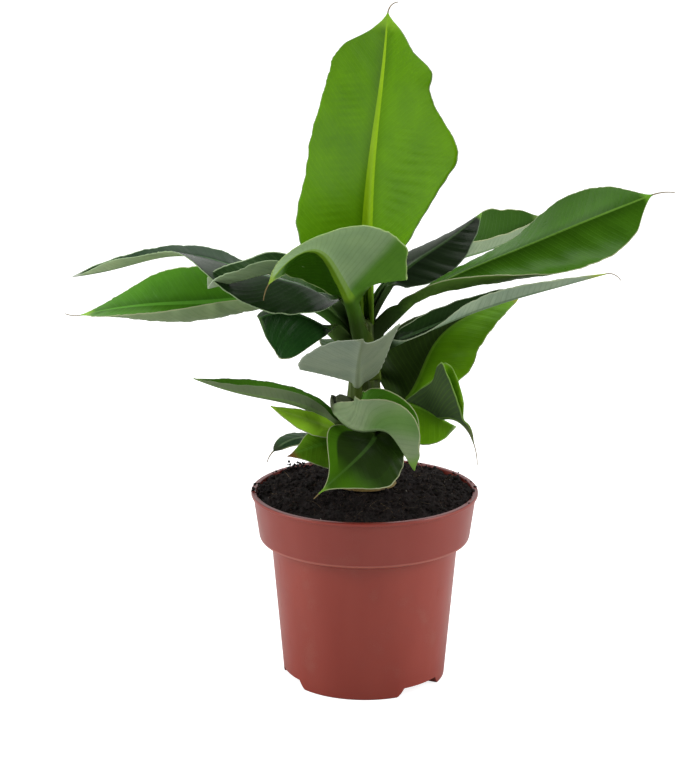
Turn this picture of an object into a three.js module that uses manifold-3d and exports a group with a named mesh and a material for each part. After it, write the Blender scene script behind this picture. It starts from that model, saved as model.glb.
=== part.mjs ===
// A young banana plant in a terracotta-coloured plastic nursery pot.
// Units are millimetres, +Z is up, and the origin is the middle of the pot's flat underside.
// +X is the plant's right and -Y its front. Angles are in degrees, measured from +X towards +Y.

import * as THREE from "three";
import { mergeVertices } from "three/addons/utils/BufferGeometryUtils.js";
import Module from "manifold-3d";

const wasm = await Module();
wasm.setup();

// ---- Driving dimensions ----------------------------------------------------------------------

const GAP = 0.35; // clearance between neighbouring solids
const ROUND_SIDES = 36; // facets round the pot

const pot = {
  height: 102,
  baseRadius: 43,
  waistRadius: 49.5, // body just under the collar
  waistHeight: 74.5,
  collarRadius: 55.8, // collar's lower edge
  collarHeight: 77.5,
  rimRadius: 60,
  lipHeight: 2.2,
  lipProud: 1.1,
  wall: 1.5,
  floor: 2,
};

const pocket = {
  centres: [-46, 78, 202], // raised drainage pockets round the base, with feet between them
  width: 31, // degrees of arc, at its roof
  draft: 11, // degrees wider at the ground
  height: 4.8,
  innerRadius: 34,
  roof: 1.4,
  holeRadius: 3.2,
  holeAt: 39.3, // radius of the drain hole's centre
};

const soil = {
  level: 100.8, // at the pot wall
  crown: 105.4, // round the stem
};

const stem = {
  foot: 105.7, // just above the soil
  top: 194,
  footRadius: 11,
  flareHeight: 12,
  flare: 3,
  crownRadius: 5.6,
  shoulder: 150, // where the taper to the crown begins
  shoulderRadius: 8.8,
  sides: 14,
  rows: 10,
};

const blade = {
  rib: 2.4, // thickness at the midrib
  sheet: 1.1, // thickness over the rest of the half-blade
  edge: 0.7,
  stalkHalfWidth: 1.7,
  stalkThickness: 3.2,
  tailHalfWidth: 0.5,
  join: 0.12, // share of the blade over which the stalk opens out
};

const COLOURS = {
  pot: 0x8a3c32,
  soil: 0x231a17,
  stem: 0x6d8a3a,
  leafDark: 0x23491c,
  leafBright: 0x4d8a18,
  leafGrey: 0x7f8f7c,
};

// ---- Leaves ------------------------------------------------------------------------------------
// at: [angle round the stem, height of the foot], and its distance from the axis where it stands
// off the stem. heading and climb: direction of the midrib, at even steps from foot to tip.
// stalk and length: lengths of stalk and blade. Where two values are given for width, widest,
// base, tip, shape and lean, the first is the half-blade on the left, seen along the leaf from its
// foot with the upper side up, and the second the one on the right. foldLeft, foldRight: how far
// each half-blade rises from flat, at even steps along the blade. curlLeft, curlRight: how much
// further it turns up towards its edge. roll: twist about the midrib. widest: where along the
// blade the half is widest. base, tip: how blunt (low) or pointed (high) its ends are. shape: the
// half-widths at even steps along the blade, for an outline that follows no simple rule. lean: how
// far the margin is swept forward, as a share of the half-width. tail: [length, climb] of the
// thread that the tip ends in.

const LEAVES = [
  {
    name: "leaf_top", at: [75, 196.5, 3], stalk: 14, length: 140,
    heading: [88, 66, 42, 30], climb: [88, 84, 80, 86], roll: [0, -8, 10],
    foldLeft: [20, 10, 10], foldRight: [30, -5, 5], curlLeft: [0], curlRight: [25, -10, -10],
    shape: [
      [6, 16, 31, 36.5, 38.5, 39, 39, 40, 41, 41, 40, 39.5, 38, 36, 28, 10.5, 0.5],
      [6, 12, 22, 30, 34.5, 39.5, 44, 49, 53, 51, 44, 36.5, 32.5, 34, 21, 12.5, 0.5],
    ],
    tail: [9, 0],
    large: true, colour: COLOURS.leafBright,
  },
  {
    name: "leaf_front_cupped", at: [255, 192.6, 16], stalk: 14, length: 84,
    heading: [-128, -124, -122, -130, -150], climb: [76, 52, 42, -10, -52], roll: [33, 35, 40, 50, 70],
    foldLeft: [-10], foldRight: [8], curlLeft: [-20], curlRight: [0],
    shape: [
      [17, 32, 36, 38.5, 41, 39.5, 36.5, 34, 31, 26, 19, 10, 0.5],
      [3, 8, 12, 17, 22, 23, 22, 19, 14, 7, 0.5],
    ],
    lean: [0.1, 0], tail: [9, -85],
    large: true, colour: COLOURS.leafGrey,
  },
  {
    name: "leaf_left_folded", at: [222, 197, 6.6], stalk: 20, length: 72,
    heading: [-145, -148, -172, -165], climb: [56, 32, -12, -10], roll: [0, -20, -5],
    foldLeft: [40, 50, 50], foldRight: [40, 35, 35], curlLeft: [-15], curlRight: [10],
    width: [19, 11], widest: [0.7, 0.65], base: [0.7, 1.5], tip: [0.6, 0.25], tail: [0, 0],
    large: false, colour: COLOURS.leafDark,
  },
  {
    name: "leaf_left_long", at: [160, 189.8, 8.8], stalk: 8, length: 153,
    heading: [201, 188, 162, 172, 174], climb: [62, 17, 13, -16, -9], roll: [10, -5, -5],
    foldLeft: [-20, -25, 15, 25, 80], foldRight: [0, -10, 0, 20, 55], curlLeft: [0], curlRight: [0],
    width: [34, 15], widest: [0.4, 0.42], base: [0.5, 0.6], tip: [1.5, 0.8], tail: [0, 0],
    large: true, colour: COLOURS.leafDark,
  },
  {
    name: "leaf_left_low", at: [172, 184], stalk: 30, length: 123,
    heading: [163, 170, 167, 171], climb: [49, -3, -5, -14], roll: [10, -12, 15],
    foldLeft: [-70, -65, -55, -15], foldRight: [40, 42, 42, 25], curlLeft: [165, 170, 110, -10],
    curlRight: [0],
    shape: [
      [0, 12, 19, 24, 27.5, 29, 27.5, 24.5, 19, 12, 0.5],
      [0, 10, 16, 19.5, 21, 21.5, 21.5, 20, 15, 9, 0.5],
    ],
    tail: [9, 20],
    large: true, colour: COLOURS.leafBright,
  },
  {
    name: "leaf_left_drooping", at: [200, 179], stalk: 13, length: 46,
    heading: [197, 205, 207, 211], climb: [54, 34, 14, -20], roll: [0, 5, 0],
    foldLeft: [-45, -70, -80], foldRight: [0], curlLeft: [10], curlRight: [0],
    width: [26, 11], widest: [0.5, 0.55], base: [0.9, 0.8], tip: [0.4, 0.4], tail: [0, 0],
    large: false, colour: COLOURS.leafDark,
  },
  {
    name: "leaf_front_grey", at: [247, 168], stalk: 20, length: 86,
    heading: [-91, -90, -85], climb: [-11, 14, 28, 33, 35], roll: [-45, -14, -14],
    foldLeft: [40, 40, 40, 38, 12], foldRight: [-10, -6, 0], curlLeft: [20], curlRight: [0],
    shape: [
      [0, 9, 13, 16, 19, 21, 24, 25, 15, 4, 0.5],
      [0, 14, 23, 28, 29, 29, 27, 23, 18, 11, 0.5],
    ],
    lean: [0.3, 0.1], tail: [0, 0],
    large: true, colour: COLOURS.leafGrey,
  },
  {
    name: "leaf_right_rising", at: [16, 141], stalk: 8, length: 91,
    heading: [12, 34, 14, 10], climb: [30, 63, 28, 12], roll: [22, 34, 20, 10],
    foldLeft: [0], foldRight: [0], curlLeft: [-5], curlRight: [-5],
    width: [30, 26], widest: [0.2, 0.5], base: [0.25, 0.9], tip: [1.8, 0.8], tail: [0, 0],
    large: true, colour: COLOURS.leafBright,
  },
  {
    name: "leaf_right_cupped", at: [-4, 142.1, 12.9], stalk: 9, length: 53,
    heading: [-43, -43, -47, -47, -42, -30, -33], climb: [20, 12, -2, 11, 10, -37, -67], roll: [0],
    foldLeft: [78], foldRight: [75], curlLeft: [25], curlRight: [10],
    shape: [
      [3, 10, 18, 24, 28, 29, 28, 25, 14, 3.4, 2.8, 1.6, 0.4],
      [3, 10, 17, 23, 27, 29, 29, 21, 10, 3.4, 2.8, 1.4, 0.4],
    ],
    lean: [0.45, 0.5], tail: [12, -88],
    large: false, colour: COLOURS.leafDark,
  },
  {
    name: "leaf_right_narrow", at: [-36, 179], stalk: 6, length: 119,
    heading: [-36, 0, -14, -8], climb: [28, 22, 18, 17], roll: [25, 5, -5],
    foldLeft: [45], foldRight: [20, 20, 55, 60, 50, 40], curlLeft: [-10], curlRight: [-10],
    width: [9, 9], widest: [0.3, 0.4], base: [0.5, 0.3], tip: [0.8, 0.7], tail: [9, -60],
    large: true, colour: COLOURS.leafDark,
  },
  {
    name: "leaf_right_broad", at: [5, 189], stalk: 8, length: 149,
    heading: [9, 2, 4, 7], climb: [45, 24, 22, 20], roll: [-5, 0, 12],
    foldLeft: [5, 5, 35], foldRight: [-40, -80, -75, -50], curlLeft: [-5],
    curlRight: [150, 150, 80, 0],
    shape: [
      [0, 5, 11, 16.5, 20, 21.5, 27, 28, 23, 14, 0.5],
      [0, 11.5, 19, 25, 29, 31, 31, 28, 24, 16, 0.5],
    ],
    tail: [13, -10],
    large: true, colour: COLOURS.leafDark,
  },
  {
    name: "leaf_back_right_near", at: [56, 195.2], stalk: 15, length: 72,
    heading: [45, 34, 32], climb: [54, 24, 33], roll: [12, -4, -20],
    foldLeft: [10], foldRight: [-52, -60, -55], curlLeft: [-10], curlRight: [20],
    width: [13, 16.5], widest: [0.4, 0.45], base: [0.7, 0.8], tip: [0.85, 0.9], tail: [0, 0],
    large: false, colour: COLOURS.leafDark,
  },
  {
    name: "leaf_back_right_far", at: [85, 189.3, 11.3], stalk: 31, length: 108,
    heading: [60, 46, 28, 18], climb: [50, 8, 9, 37], roll: [0, 5, 0],
    foldLeft: [48], foldRight: [70], curlLeft: [10], curlRight: [0],
    shape: [
      [0, 4, 6, 7, 9, 12, 18, 22, 18, 12, 0.5],
      [0, 5, 7, 9, 9, 9, 8, 7, 5, 3, 0.5],
    ],
    lean: [0.2, 0], tail: [0, 0],
    large: true, colour: COLOURS.leafDark,
  },
  {
    name: "leaf_low_left_long", at: [217, 134], stalk: 6, length: 82,
    heading: [196, 190, 182], climb: [46, 13, 22], roll: [0, 10, -10],
    foldLeft: [78], foldRight: [42], curlLeft: [5], curlRight: [0],
    width: [6, 12], widest: [0.42, 0.45], base: [0.7, 0.35], tip: [0.9, 1.05], tail: [0, 0],
    large: false, colour: COLOURS.leafDark,
  },
  {
    name: "leaf_low_left_short", at: [239, 131.9, 14.6], stalk: 5, length: 43,
    heading: [202, 194, 191], climb: [42, 21, 26], roll: [0],
    foldLeft: [-28], foldRight: [30], curlLeft: [-10], curlRight: [0],
    width: [10, 7], widest: [0.42, 0.4], base: [0.7, 0.7], tip: [1.0, 1.0], tail: [0, 0],
    large: false, colour: COLOURS.leafBright,
  },
  {
    name: "leaf_low_left_dark", at: [206, 127], stalk: 3, length: 39,
    heading: [194, 202, 214], climb: [29, 6, -32], roll: [0, 12, -6],
    foldLeft: [-27], foldRight: [11], curlLeft: [0], curlRight: [0],
    width: [6, 9], widest: [0.5, 0.5], base: [0.6, 0.6], tip: [0.7, 0.7], tail: [7, -75],
    large: false, colour: COLOURS.leafDark,
  },
  {
    name: "leaf_low_left_brown", at: [236, 124.7, 14.3], stalk: 3, length: 36,
    heading: [204, 211, 204], climb: [50, -4, -14], roll: [0, -15, 20],
    foldLeft: [-40], foldRight: [24], curlLeft: [0], curlRight: [0],
    width: [14, 10], widest: [0.4, 0.35], base: [0.6, 0.6], tip: [1.05, 1.25], tail: [0, 0],
    large: false, colour: COLOURS.leafDark,
  },
  {
    name: "leaf_low_front_broad", at: [-58, 136], stalk: 5, length: 60,
    heading: [-95, -120, -152], climb: [0, -15, -36], roll: [-12, -18, -12],
    foldLeft: [-14], foldRight: [2], curlLeft: [-5], curlRight: [15],
    width: [22, 22], widest: [0.5, 0.34], base: [0.2, 0.5], tip: [1.6, 1.8], tail: [4, -40],
    large: false, colour: COLOURS.leafDark,
  },
  {
    name: "leaf_low_front_saddle", at: [229, 153, 24.4], stalk: 1, length: 61,
    heading: [-79, -37, -33, -20, -12, -6, 0], climb: [-36, -37, -3, 9, -49, -60, -59], roll: [0],
    foldLeft: [80], foldRight: [72], curlLeft: [0], curlRight: [10],
    shape: [
      [2, 8, 14, 18, 20, 20, 21, 19, 16, 12, 9, 6, 0.5],
      [2, 11, 16, 18, 19, 17.5, 17, 18, 16, 13, 9, 6, 0.5],
    ],
    tail: [0, 0],
    large: false, colour: COLOURS.leafGrey,
  },
  {
    name: "leaf_low_right_curled", at: [-33, 148.7, 11.2], stalk: 6, length: 41,
    heading: [-44, -32, -36, -30], climb: [30, 0, -20, -16], roll: [10, -10, -18],
    foldLeft: [0], foldRight: [-60], curlLeft: [-10], curlRight: [0],
    width: [6, 21], widest: [0.46, 0.5], base: [0.46, 0.6], tip: [0.7, 0.4], tail: [0, 0],
    large: false, colour: COLOURS.leafBright,
  },
  {
    name: "leaf_back_high", at: [114, 187], stalk: 14, length: 84,
    heading: [100, 98, 95], climb: [62, 30, 0, -22], roll: [0],
    foldLeft: [15, 5], foldRight: [15, 5], curlLeft: [0], curlRight: [0],
    width: [20, 20], widest: [0.5, 0.5], base: [0.7, 0.7], tip: [0.8, 0.8], tail: [6, -60],
    large: false, colour: COLOURS.leafDark,
  },
  {
    name: "leaf_back_left", at: [143, 182], stalk: 16, length: 88,
    heading: [134, 136, 140], climb: [52, 18, 2, -12], roll: [0],
    foldLeft: [15, 5], foldRight: [15, 5], curlLeft: [0], curlRight: [0],
    width: [18, 18], widest: [0.5, 0.5], base: [0.7, 0.7], tip: [0.8, 0.8], tail: [6, -60],
    large: false, colour: COLOURS.leafDark,
  },
  {
    name: "leaf_back_right_low", at: [100, 151], stalk: 12, length: 62,
    heading: [100, 100, 100], climb: [46, 20, 0, -15], roll: [0],
    foldLeft: [15, 5], foldRight: [15, 5], curlLeft: [0], curlRight: [0],
    width: [16, 16], widest: [0.5, 0.5], base: [0.7, 0.7], tip: [0.8, 0.8], tail: [5, -60],
    large: false, colour: COLOURS.leafDark,
  },
  {
    name: "leaf_back_low", at: [96, 128], stalk: 6, length: 38,
    heading: [92, 95, 98], climb: [36, 10, -15], roll: [0],
    foldLeft: [15, 5], foldRight: [15, 5], curlLeft: [0], curlRight: [0],
    width: [10, 10], widest: [0.5, 0.5], base: [0.7, 0.7], tip: [0.8, 0.8], tail: [4, -60],
    large: false, colour: COLOURS.leafDark,
  },
];

// Leaves that press into their neighbours, each with those neighbours' names.
const CROSSED = {
  leaf_left_folded: ["leaf_left_long"],
  leaf_low_right_curled: ["leaf_right_cupped", "leaf_low_front_saddle"],
};

// ---- Small helpers -----------------------------------------------------------------------------

const radians = THREE.MathUtils.degToRad;
const smooth = (x) => x * x * (3 - 2 * x);

// A smooth curve through evenly spaced values, read at t from 0 to 1.
function along(values, t) {
  const last = values.length - 1;
  if (last === 0) return values[0];
  const place = Math.min(Math.max(t, 0), 1) * last;
  const i = Math.min(Math.floor(place), last - 1);
  const f = place - i;
  const value = (k) => values[Math.min(Math.max(i + k, 0), last)];
  const [a, b, c, d] = [value(-1), value(0), value(1), value(2)];
  return 0.5 * (2 * b + (c - a) * f + (2 * a - 5 * b + 4 * c - d) * f * f
    + (3 * b - a - 3 * c + d) * f * f * f);
}

function stemRadius(height) {
  const lower = (height - stem.foot) / (stem.shoulder - stem.foot);
  const upper = (height - stem.shoulder) / (stem.top - stem.shoulder);
  if (height < stem.shoulder) {
    return THREE.MathUtils.lerp(stem.footRadius, stem.shoulderRadius, lower);
  }
  return THREE.MathUtils.lerp(stem.shoulderRadius, stem.crownRadius, Math.min(upper, 1));
}

// Joins rings of points into one closed body, each ring a loop of the same number of points.
function skin(rings) {
  const count = rings[0].length;
  const positions = rings.flat().flatMap((p) => [p.x, p.y, p.z]);
  const faces = [];
  for (let row = 0; row + 1 < rings.length; row += 1) {
    for (let i = 0; i < count; i += 1) {
      const j = (i + 1) % count;
      const [a, b] = [row * count + i, row * count + j];
      const [c, d] = [a + count, b + count];
      faces.push(a, b, d, a, d, c);
    }
  }
  // Each end is closed by strips between the front half of its ring and the back half.
  for (const [row, turned] of [[0, true], [rings.length - 1, false]]) {
    const at = (i) => row * count + i;
    for (let i = 0, j = count - 1; j - i > 1; i += 1, j -= 1) {
      const quad = j - i > 2 ? [[i, i + 1, j - 1], [i, j - 1, j]] : [[i, i + 1, j]];
      for (const [p, q, r] of quad) {
        faces.push(...(turned ? [at(p), at(r), at(q)] : [at(p), at(q), at(r)]));
      }
    }
  }
  const geometry = new THREE.BufferGeometry();
  geometry.setAttribute("position", new THREE.Float32BufferAttribute(positions, 3));
  geometry.setIndex(faces);
  return geometry;
}

// ---- Leaf --------------------------------------------------------------------------------------

// Share of the full half-width at a place along the blade.
function outline(place, widest, base, tip) {
  const rising = Math.sin((Math.PI / 2) * Math.min(place / widest, 1)) ** base;
  const falling = Math.sin((Math.PI / 2) * Math.min((1 - place) / (1 - widest), 1)) ** tip;
  return place < widest ? rising : falling;
}

// Half-width of one half-blade at a place along it, nothing on the stalk.
function halfWidth(leaf, half, place) {
  if (leaf.shape) return place > 0 ? Math.max(along(leaf.shape[half], place), 0) : 0;
  return leaf.width[half] * outline(place, leaf.widest[half], leaf.base[half], leaf.tip[half]);
}

// Midrib points with their frames: side points left across the leaf and up out of its upper side.
function midrib(leaf, rows) {
  const [angle, height, reach] = leaf.at;
  const surface = stemRadius(height) + GAP + blade.stalkThickness / 2 + 0.25;
  const outward = new THREE.Vector3(Math.cos(radians(angle)), Math.sin(radians(angle)), 0);
  const level = new THREE.Vector3(0, 0, height);
  const spot = level.clone().addScaledVector(outward, reach ?? surface);
  const [tailLength, tailClimb] = leaf.tail;
  const body = leaf.stalk + leaf.length;
  const fineSteps = 8;
  const stations = [];
  const direction = (distance) => {
    const t = Math.min(distance / body, 1);
    const past = Math.min(Math.max((distance - body) / Math.max(tailLength, 1), 0), 1);
    const heading = radians(along(leaf.heading, t));
    const climb = radians(THREE.MathUtils.lerp(along(leaf.climb, t), tailClimb, past));
    return [heading, climb, new THREE.Vector3(
      Math.cos(climb) * Math.cos(heading), Math.cos(climb) * Math.sin(heading), Math.sin(climb))];
  };
  const marks = Array.from({ length: rows + 1 }, (_, i) => (body * i) / rows);
  if (tailLength > 0) marks.push(body + tailLength / 2, body + tailLength);
  let distance = 0;
  for (const mark of marks) {
    const step = (mark - distance) / fineSteps;
    for (let k = 0; k < fineSteps && step > 0; k += 1) {
      spot.addScaledVector(direction(distance + step / 2)[2], step);
      distance += step;
    }
    const [heading, , forward] = direction(mark);
    const across = new THREE.Vector3(-Math.sin(heading), Math.cos(heading), 0);
    const over = new THREE.Vector3().crossVectors(forward, across);
    const roll = radians(along(leaf.roll, mark / body));
    const side = across.clone().multiplyScalar(Math.cos(roll)).addScaledVector(over, Math.sin(roll));
    const up = over.clone().multiplyScalar(Math.cos(roll)).addScaledVector(across, -Math.sin(roll));
    stations.push({ spot: spot.clone(), side, up, ahead: forward, share: mark / body });
  }
  // A stalk that stands off the stem is carried back to the stem's side.
  if (reach > surface + 2) {
    const root = level.clone().addScaledVector(outward, surface);
    stations.unshift({ ...stations[0], spot: root });
  }
  return stations;
}

// One closed blade: at each station a thin lens across, thickest on the midrib. The blade can be
// grown on all sides, to trim what has to stay clear of it.
function leafGeometry(leaf, grown = 0) {
  const rows = leaf.large ? 13 : 10;
  const columns = leaf.large ? 3 : 2;
  const stalkShare = leaf.stalk / (leaf.stalk + leaf.length);
  const rings = midrib(leaf, rows).map(({ spot, side, up, ahead, share }) => {
    const place = Math.min(Math.max((share - stalkShare) / (1 - stalkShare), 0), 1);
    const open = smooth(Math.min(place / blade.join, 1));
    const closing = share >= 1 ? blade.tailHalfWidth : blade.stalkHalfWidth;
    const halves = [0, 1].map((half) => {
      const sign = half === 0 ? 1 : -1;
      const fold = half === 0 ? leaf.foldLeft : leaf.foldRight;
      const curl = half === 0 ? leaf.curlLeft : leaf.curlRight;
      const stalk = share >= 1 ? closing : blade.stalkHalfWidth * (1 - open);
      const width = Math.max(halfWidth(leaf, half, place), stalk, blade.tailHalfWidth) + grown;
      const sweep = (leaf.lean ?? [0, 0])[half] * open;
      const edge = spot.clone();
      const points = [];
      for (let k = 0; k < columns; k += 1) {
        const turn = radians(along(fold, place) + along(curl, place) * ((k + 0.5) / columns)) * open;
        edge.addScaledVector(side, (sign * Math.cos(turn) * width) / columns);
        edge.addScaledVector(up, (Math.sin(turn) * width) / columns);
        edge.addScaledVector(ahead, (sweep * width) / columns);
        const out = up.clone().multiplyScalar(Math.cos(turn)).addScaledVector(side, -sign * Math.sin(turn));
        const sheet = k + 1 === columns ? blade.edge : blade.sheet;
        const thick = THREE.MathUtils.lerp(blade.stalkThickness, sheet, open);
        points.push({ at: edge.clone(), out, thick: share >= 1 ? blade.edge : thick });
      }
      return points;
    });
    const rib = share >= 1 ? blade.edge : THREE.MathUtils.lerp(blade.stalkThickness, blade.rib, open);
    const row = [...halves[1].reverse(), { at: spot, out: up, thick: rib }, ...halves[0]];
    const face = (sign) => row.map(({ at, out, thick }) =>
      at.clone().addScaledVector(out, sign * (thick / 2 + grown)));
    return [...face(-1), ...face(1).reverse()];
  });
  return skin(rings);
}

// ---- Stem --------------------------------------------------------------------------------------

function stemGeometry() {
  const rings = [];
  for (let row = 0; row <= stem.rows; row += 1) {
    const height = THREE.MathUtils.lerp(stem.foot, stem.top, row / stem.rows);
    const rise = Math.max(1 - (height - stem.foot) / stem.flareHeight, 0);
    const radius = stemRadius(height) + stem.flare * rise * rise;
    rings.push(Array.from({ length: stem.sides }, (_, i) => {
      const angle = (2 * Math.PI * i) / stem.sides;
      return new THREE.Vector3(radius * Math.cos(angle), radius * Math.sin(angle), height);
    }));
  }
  return skin(rings);
}

// ---- Pot and root ball ---------------------------------------------------------------------------

// A closed [radius, height] outline turned about Z, counter-clockwise seen with the axis at left.
function turned(outlinePoints) {
  const loop = [...outlinePoints, outlinePoints[0]].map(([r, z]) => new THREE.Vector2(r, z));
  return new THREE.LatheGeometry(loop, ROUND_SIDES).rotateX(Math.PI / 2);
}

function toSolid(geometry) {
  const bare = new THREE.BufferGeometry();
  bare.setAttribute("position", geometry.getAttribute("position"));
  if (geometry.index) bare.setIndex(geometry.index);
  const merged = mergeVertices(bare, 1e-4);
  const index = merged.index.array;
  const kept = [];
  for (let i = 0; i < index.length; i += 3) {
    const [a, b, c] = [index[i], index[i + 1], index[i + 2]];
    if (a !== b && b !== c && c !== a) kept.push(a, b, c);
  }
  return new wasm.Manifold(new wasm.Mesh({
    numProp: 3,
    vertProperties: new Float32Array(merged.getAttribute("position").array),
    triVerts: new Uint32Array(kept),
  }));
}

function toGeometry(solid) {
  const mesh = solid.getMesh();
  const geometry = new THREE.BufferGeometry();
  geometry.setAttribute("position", new THREE.BufferAttribute(new Float32Array(mesh.vertProperties), 3));
  geometry.setIndex(new THREE.BufferAttribute(new Uint32Array(mesh.triVerts), 1));
  return geometry;
}

// A block of a ring: from one radius to another, over an arc, between two heights. It narrows
// upwards by the draft, in degrees in all.
function ringBlock(inner, outer, centre, width, bottom, top, draft = 0) {
  const half = radians(width / 2);
  const shape = new THREE.Shape();
  shape.absarc(0, 0, outer, -half, half, false);
  shape.absarc(0, 0, inner, half, -half, true);
  const options = { depth: top - bottom, bevelEnabled: false, curveSegments: 5 };
  const geometry = new THREE.ExtrudeGeometry(shape, options);
  const corners = geometry.getAttribute("position");
  for (let i = 0; i < corners.count; i += 1) {
    const [x, y, rise] = [corners.getX(i), corners.getY(i), corners.getZ(i)];
    const narrowed = 1 - ((draft / width) * rise) / (top - bottom);
    const angle = radians(centre) + Math.atan2(y, x) * narrowed;
    const radius = Math.hypot(x, y);
    corners.setXYZ(i, radius * Math.cos(angle), radius * Math.sin(angle), bottom + rise);
  }
  return geometry;
}

const bodyRadius = (height) => THREE.MathUtils.mapLinear(
  height, 0, pot.waistHeight, pot.baseRadius, pot.waistRadius);

function potGeometry() {
  const { wall, floor } = pot;
  const outside = [
    [0, 0], [pot.baseRadius, 0], [pot.waistRadius, pot.waistHeight],
    [pot.collarRadius, pot.collarHeight], [pot.rimRadius - pot.lipProud, pot.height - pot.lipHeight],
    [pot.rimRadius, pot.height - pot.lipHeight], [pot.rimRadius, pot.height],
  ];
  const inside = [
    [pot.rimRadius - pot.lipProud - wall, pot.height], [pot.collarRadius - wall, pot.collarHeight + wall],
    [pot.waistRadius - wall, pot.waistHeight + wall / 2], [bodyRadius(floor) - wall, floor], [0, floor],
  ];
  let solid = toSolid(turned([...outside, ...inside]));
  const skirt = toSolid(turned([
    [0, 0], [pot.baseRadius, 0], [bodyRadius(pocket.height + pocket.roof), pocket.height + pocket.roof],
    [0, pocket.height + pocket.roof],
  ]));
  const mouth = pocket.width + pocket.draft;
  for (const centre of pocket.centres) {
    const housing = toSolid(ringBlock(
      pocket.innerRadius - pocket.roof, pot.waistRadius, centre,
      mouth + 4, 0, pocket.height + pocket.roof));
    solid = solid.add(housing.intersect(skirt));
  }
  for (const centre of pocket.centres) {
    const hollow = toSolid(ringBlock(
      pocket.innerRadius, pot.waistRadius + 5, centre, mouth, -0.1, pocket.height, pocket.draft));
    const drill = new THREE.CylinderGeometry(pocket.holeRadius, pocket.holeRadius, 6, 12)
      .rotateX(Math.PI / 2)
      .translate(
        pocket.holeAt * Math.cos(radians(centre)), pocket.holeAt * Math.sin(radians(centre)),
        pocket.height + 1);
    solid = solid.subtract(hollow).subtract(toSolid(drill));
  }
  return toGeometry(solid);
}

function rootBallGeometry() {
  const inset = pot.wall + GAP;
  const ball = toSolid(turned([
    [0, pot.floor + GAP], [bodyRadius(pot.floor) - inset - GAP, pot.floor + GAP],
    [pot.waistRadius - inset, pot.waistHeight + pot.wall / 2 + GAP],
    [pot.collarRadius - inset - GAP, pot.collarHeight + pot.wall + GAP],
    [pot.rimRadius - pot.lipProud - inset - 0.6, soil.level],
    [stem.footRadius + stem.flare, soil.crown], [0, soil.crown],
  ]));
  const room = pocket.centres.map((centre) => toSolid(ringBlock(
    pocket.innerRadius - pocket.roof - GAP, pot.waistRadius, centre,
    pocket.width + pocket.draft + 5.2, 0, pocket.height + pocket.roof + GAP)));
  return toGeometry(room.reduce((rest, block) => rest.subtract(block), ball));
}

// The part of a leaf that stays clear of the neighbours it would pass through.
function trimmedGeometry(leaf, neighbours) {
  const cut = neighbours.reduce(
    (rest, neighbour) => rest.subtract(toSolid(leafGeometry(neighbour, GAP))),
    toSolid(leafGeometry(leaf)));
  const pieces = cut.decompose().sort((a, b) => b.volume() - a.volume());
  return toGeometry(pieces[0]);
}

// ---- The plant -----------------------------------------------------------------------------------

function part(name, geometry, colour, roughness) {
  const mesh = new THREE.Mesh(geometry, new THREE.MeshStandardMaterial({
    color: colour, roughness, metalness: 0,
  }));
  mesh.name = name;
  return mesh;
}

const plant = new THREE.Group();
plant.add(part("pot", potGeometry(), COLOURS.pot, 0.35));
plant.add(part("root_ball", rootBallGeometry(), COLOURS.soil, 0.95));
plant.add(part("pseudostem", stemGeometry(), COLOURS.stem, 0.5));
for (const leaf of LEAVES) {
  const neighbours = LEAVES.filter(({ name }) => CROSSED[leaf.name]?.includes(name));
  const geometry = neighbours.length ? trimmedGeometry(leaf, neighbours) : leafGeometry(leaf);
  plant.add(part(leaf.name, geometry, leaf.colour, 0.4));
}

export default plant;
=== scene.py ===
"""Looks of a young banana plant in a plastic nursery pot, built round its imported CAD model.

Lengths named here are in millimetres and become metres where a mesh is made. +Z is up, -Y is the
plant's front and +X its right. Angles are in degrees, from +X towards +Y.
"""

import math

import bmesh
import bpy
import numpy as np
from mathutils import Matrix, Vector, noise


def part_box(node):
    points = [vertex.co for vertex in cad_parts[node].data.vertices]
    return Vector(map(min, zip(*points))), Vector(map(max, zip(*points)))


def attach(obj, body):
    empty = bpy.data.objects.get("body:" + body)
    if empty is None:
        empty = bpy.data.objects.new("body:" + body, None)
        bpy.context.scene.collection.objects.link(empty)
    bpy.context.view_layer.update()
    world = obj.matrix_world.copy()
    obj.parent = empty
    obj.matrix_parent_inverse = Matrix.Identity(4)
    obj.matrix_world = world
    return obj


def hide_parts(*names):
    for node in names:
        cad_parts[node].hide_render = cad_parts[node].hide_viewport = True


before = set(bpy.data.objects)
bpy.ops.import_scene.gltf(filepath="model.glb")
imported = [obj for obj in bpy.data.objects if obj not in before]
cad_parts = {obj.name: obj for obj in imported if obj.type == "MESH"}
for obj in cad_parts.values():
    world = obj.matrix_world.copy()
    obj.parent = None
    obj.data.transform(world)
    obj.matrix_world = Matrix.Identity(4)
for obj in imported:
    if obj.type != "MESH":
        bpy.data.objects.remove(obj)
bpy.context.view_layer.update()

MM = 0.001


def box_mm(node):
    """Lowest and highest corner of a CAD node, in millimetres."""
    low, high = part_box(node)
    return np.array(low) / MM, np.array(high) / MM


pot_low, pot_high = box_mm("pot")
stem_low, stem_high = box_mm("pseudostem")

# ---- Sizes -------------------------------------------------------------------------------------

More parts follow.
